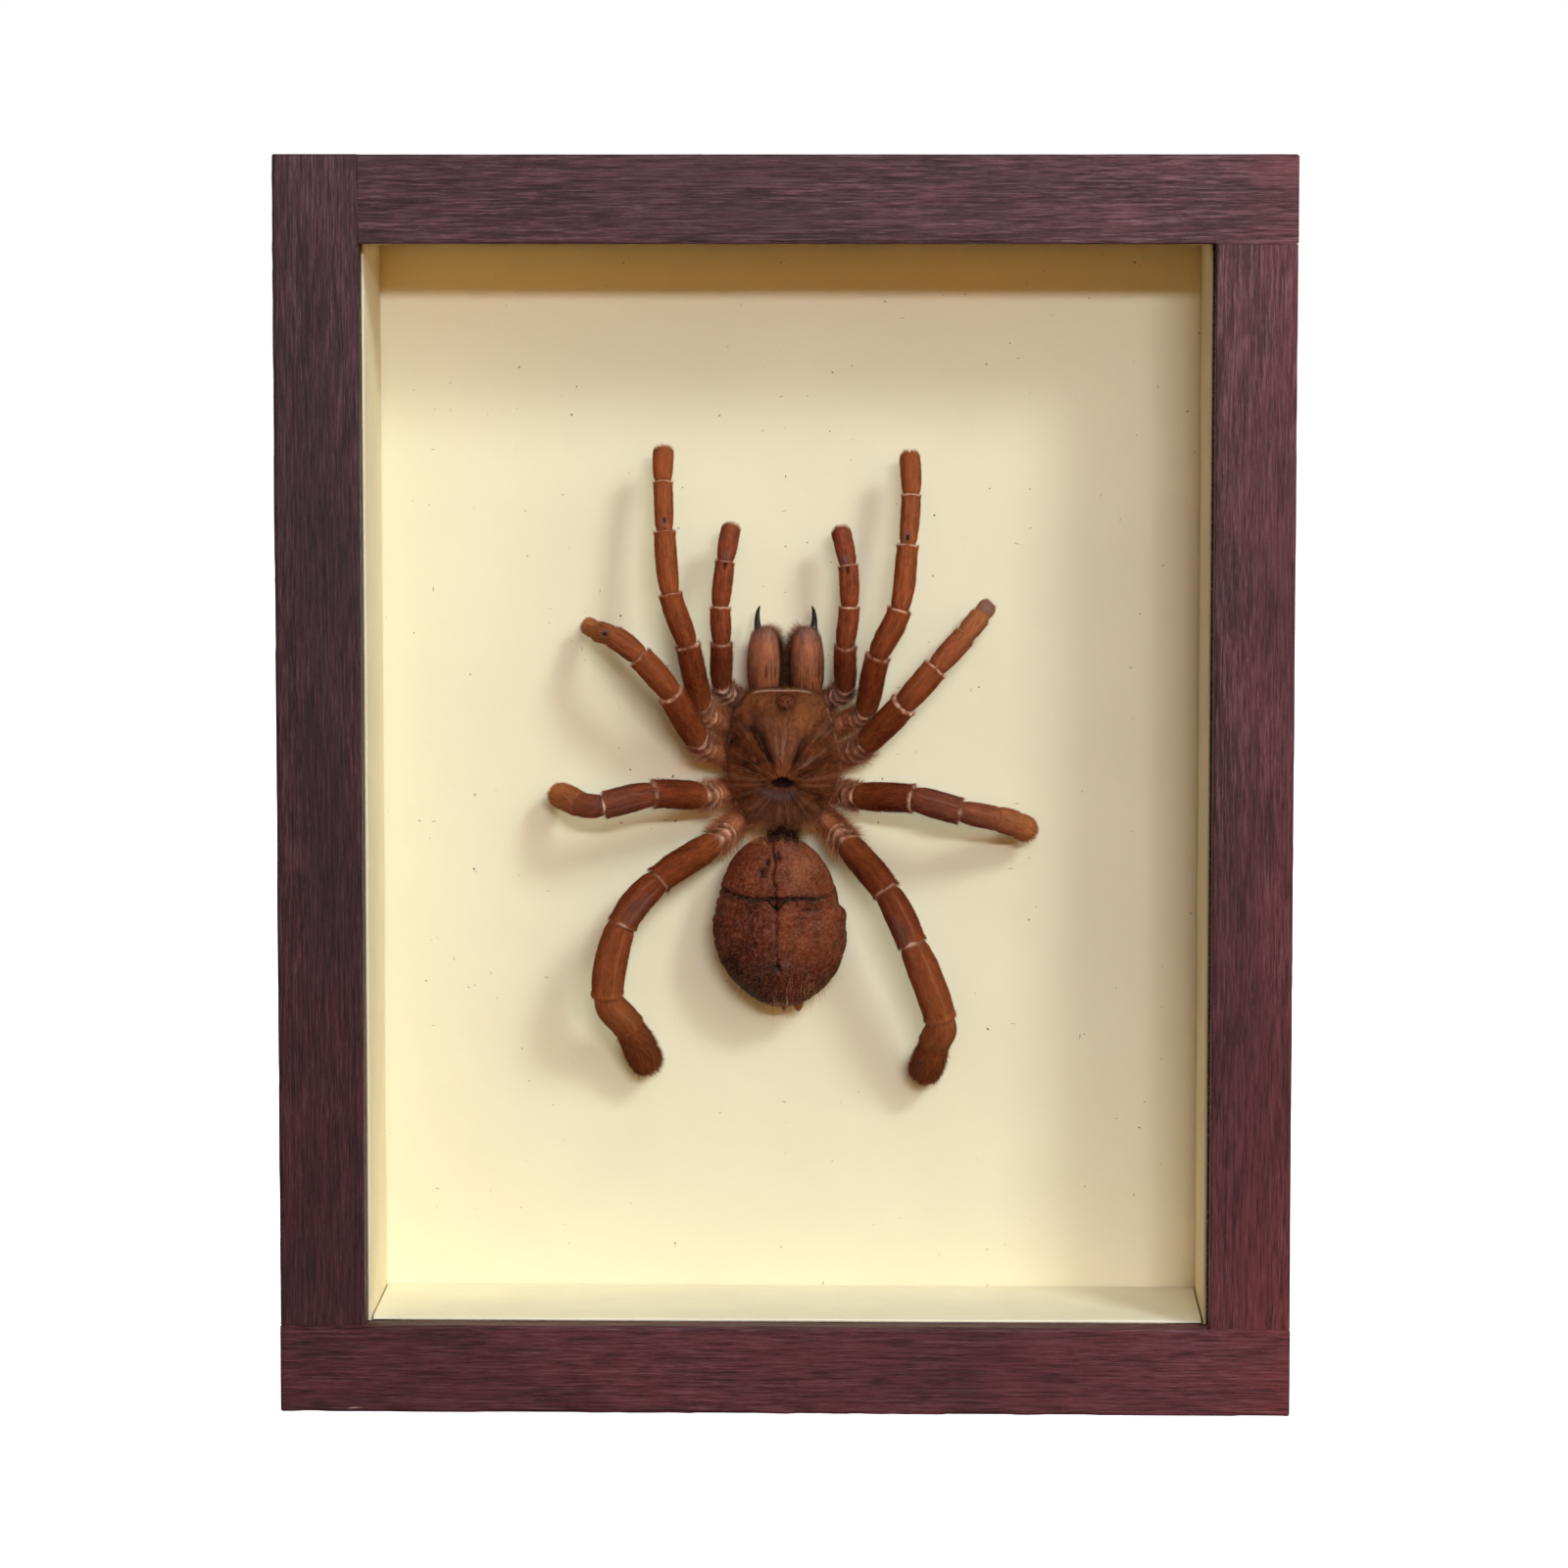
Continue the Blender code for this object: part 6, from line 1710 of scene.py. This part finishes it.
class OBJECT_OT_jaws(bpy.types.Operator):
    """Make the chelicerae with their fur, and the fangs"""
    bl_idname = "specimen.jaws"
    bl_label = "Chelicerae and fangs"

    def execute(self, context):
        settings = context.scene.specimen
        rose = (0.40, 0.108, 0.036)
        skin_material = skin_finish("skin_of_chelicerae", rose, 0.6, 0.6, 0.05)
        fur_material = fur_finish("coat_of_chelicerae", times(rose, 1.1), 0.6,
                                  (0.74, 0.34, 0.18), 0.3)
        black = bpy.data.materials.get("polished_horn") or horn()
        for word, side, mid in (("left", -1, CHELICERA_MIDS[0]), ("right", 1, CHELICERA_MIDS[1])):
            skin = chelicera_skin("chelicera_" + word, side, mid, skin_material)
            grow_fur(skin, f"chelicera_{word}_fur", fur_material, "chelicera_fur",
                     Seed=settings.seed + 400 + side)
            fang("fang_" + word, side, mid, black)
        return {"FINISHED"}


# --------------------------------------------------------------------------------------- the stage

KEY_ANGLES = (9.25, 17.2)       # degrees to the right of the board's middle, and above it
KEY_DISTANCE = 2.2
LAMPS = (       # name, place, what it faces, width, height, the setting of its power, colour
    ("window_light", (1.55, -1.2, 1.05), (1.55, 1.0, 1.05), 2.4, 1.16, "window",
     (0.71, 0.97, 1.0)),
    ("side_lamp", (1.1, -1.35, 1.35), (0.0, 0.0, 0.125), 0.4, 0.4, "side", (0.85, 0.95, 1.0)),
    ("warm_panel", (0.5, -2.2, 0.3), (0.0, 0.0, 0.15), 3.4, 0.5, "warm", (1.0, 0.35, 0.01)),
    ("high_panel", (0.1, -2.3, 1.9), (0.0, 0.0, 0.15), 2.4, 1.6, "fill", (0.80, 0.70, 1.0)),
    ("back_lamp", (-1.3, 1.5, 0.9), (0.0, 0.0, 0.12), 0.9, 0.9, "rim", (1.0, 0.94, 0.86)),
    ("back_lamp", (1.3, 1.5, 0.9), (0.0, 0.0, 0.12), 0.9, 0.9, "rim", (1.0, 0.94, 0.86)),
)
FLOOR_REACH = 6.0
CAMERA_AIM = (0.0, FRAME_Y[0] * MM, 0.1263)
SENSOR_WIDTH = 36.0


def lamp(name, place_at, aim, wide, high, power, colour):
    """A soft rectangular lamp that faces a point."""
    data = bpy.data.lights.new(name, "AREA")
    data.shape = "RECTANGLE"
    data.size, data.size_y = wide, high
    data.energy, data.color = power, colour
    obj = bpy.data.objects.new(name, data)
    bpy.context.scene.collection.objects.link(obj)
    obj.location = place_at
    obj.rotation_euler = (Vector(aim) - Vector(place_at)).to_track_quat("-Z", "Y").to_euler()


class SCENE_OT_stage(bpy.types.Operator):
    """Set up the floor, the lamps and the camera"""
    bl_idname = "specimen.stage"
    bl_label = "Stage"

    def execute(self, context):
        scene, studio = context.scene, context.scene.studio
        scene.view_settings.view_transform = "Standard"
        bm = bmesh.new()
        bmesh.ops.create_grid(bm, x_segments=1, y_segments=1, size=FLOOR_REACH)
        mesh = bpy.data.meshes.new("floor")
        bm.to_mesh(mesh)
        bm.free()
        material, _, shader = new_finish("pale_floor", 0.9, Specular_IOR_Level=0.0)
        shader.inputs["Base Color"].default_value = (0.9, 0.9, 0.9, 1.0)
        shader.inputs["Emission Color"].default_value = (1.0, 1.0, 1.0, 1.0)
        shader.inputs["Emission Strength"].default_value = 1.0
        floor = place("floor", mesh, [material])
        floor.visible_diffuse = False
        floor.visible_glossy = False

        world = bpy.data.worlds.new("studio")
        scene.world = world
        world.use_nodes = True
        nodes = world.node_tree
        nodes.nodes.clear()
        dim = put(nodes, "ShaderNodeBackground", {
            "Color": (1.0, 1.0, 1.0, 1.0), "Strength": studio.sky})
        white = put(nodes, "ShaderNodeBackground", {
            "Color": (1.0, 1.0, 1.0, 1.0), "Strength": 1.0})
        seen = put(nodes, "ShaderNodeLightPath").outputs["Is Camera Ray"]
        mixed = put(nodes, "ShaderNodeMixShader", {
            0: seen, 1: dim.outputs[0], 2: white.outputs[0]})
        put(nodes, "ShaderNodeOutputWorld", {"Surface": mixed.outputs[0]})

        board = Vector((0.0, BOARD_Y * MM, 0.125))
        across, above = (math.tan(math.radians(angle)) for angle in KEY_ANGLES)
        lamp("key_lamp", board + Vector((across, -1.0, above)) * KEY_DISTANCE, board, 0.72, 0.11,
             studio.key, (0.81, 0.83, 1.0))
        for name, place_at, aim, wide, high, power, colour in LAMPS:
            lamp(name, place_at, aim, wide, high, getattr(studio, power), colour)

        data = bpy.data.cameras.new("camera")
        data.lens, data.sensor_width = studio.lens, SENSOR_WIDTH
        data.shift_y = studio.shift
        data.dof.use_dof = False
        data.clip_start, data.clip_end = 0.05, 50.0
        camera = bpy.data.objects.new("camera", data)
        scene.collection.objects.link(camera)
        eye = Vector(studio.eye)
        camera.location = eye
        to_middle = Vector(CAMERA_AIM) - eye
        lowered = math.atan2(-to_middle.z, math.hypot(to_middle.x, to_middle.y))
        by_shift = math.atan(-studio.shift * data.sensor_width / data.lens)
        camera.rotation_euler = (math.pi / 2 - (lowered - by_shift), 0.0,
                                 math.atan2(-to_middle.x, to_middle.y))
        scene.camera = camera
        return {"FINISHED"}


# ------------------------------------------------------------------------------- panel and running

OPERATORS = (SCENE_OT_stage, OBJECT_OT_frame_members, OBJECT_OT_linings, OBJECT_OT_sheets,
             OBJECT_OT_hardware, OBJECT_OT_cephalothorax, OBJECT_OT_abdomen, OBJECT_OT_jaws,
             OBJECT_OT_limbs)


class VIEW3D_PT_specimen(bpy.types.Panel):
    """Lists the operators and what they are set to"""
    bl_label = "Framed tarantula specimen"
    bl_idname = "VIEW3D_PT_specimen"
    bl_space_type = "VIEW_3D"
    bl_region_type = "UI"
    bl_category = "Specimen"

    def draw(self, context):
        layout = self.layout
        for group in (context.scene.specimen, context.scene.studio):
            for key in group.__annotations__:
                layout.prop(group, key)
        for operator in OPERATORS:
            layout.operator(operator.bl_idname)


CLASSES = (SpecimenSettings, StudioSettings, *OPERATORS, VIEW3D_PT_specimen)


def register():
    for cls in CLASSES:
        bpy.utils.register_class(cls)
    bpy.types.Scene.specimen = PointerProperty(type=SpecimenSettings)
    bpy.types.Scene.studio = PointerProperty(type=StudioSettings)


def unregister():
    del bpy.types.Scene.studio
    del bpy.types.Scene.specimen
    for cls in reversed(CLASSES):
        bpy.utils.unregister_class(cls)


def main():
    """Build everything."""
    register()
    for operator in OPERATORS:
        family, action = operator.bl_idname.split(".")
        getattr(getattr(bpy.ops, family), action)()


if __name__ == "__main__":
    main()
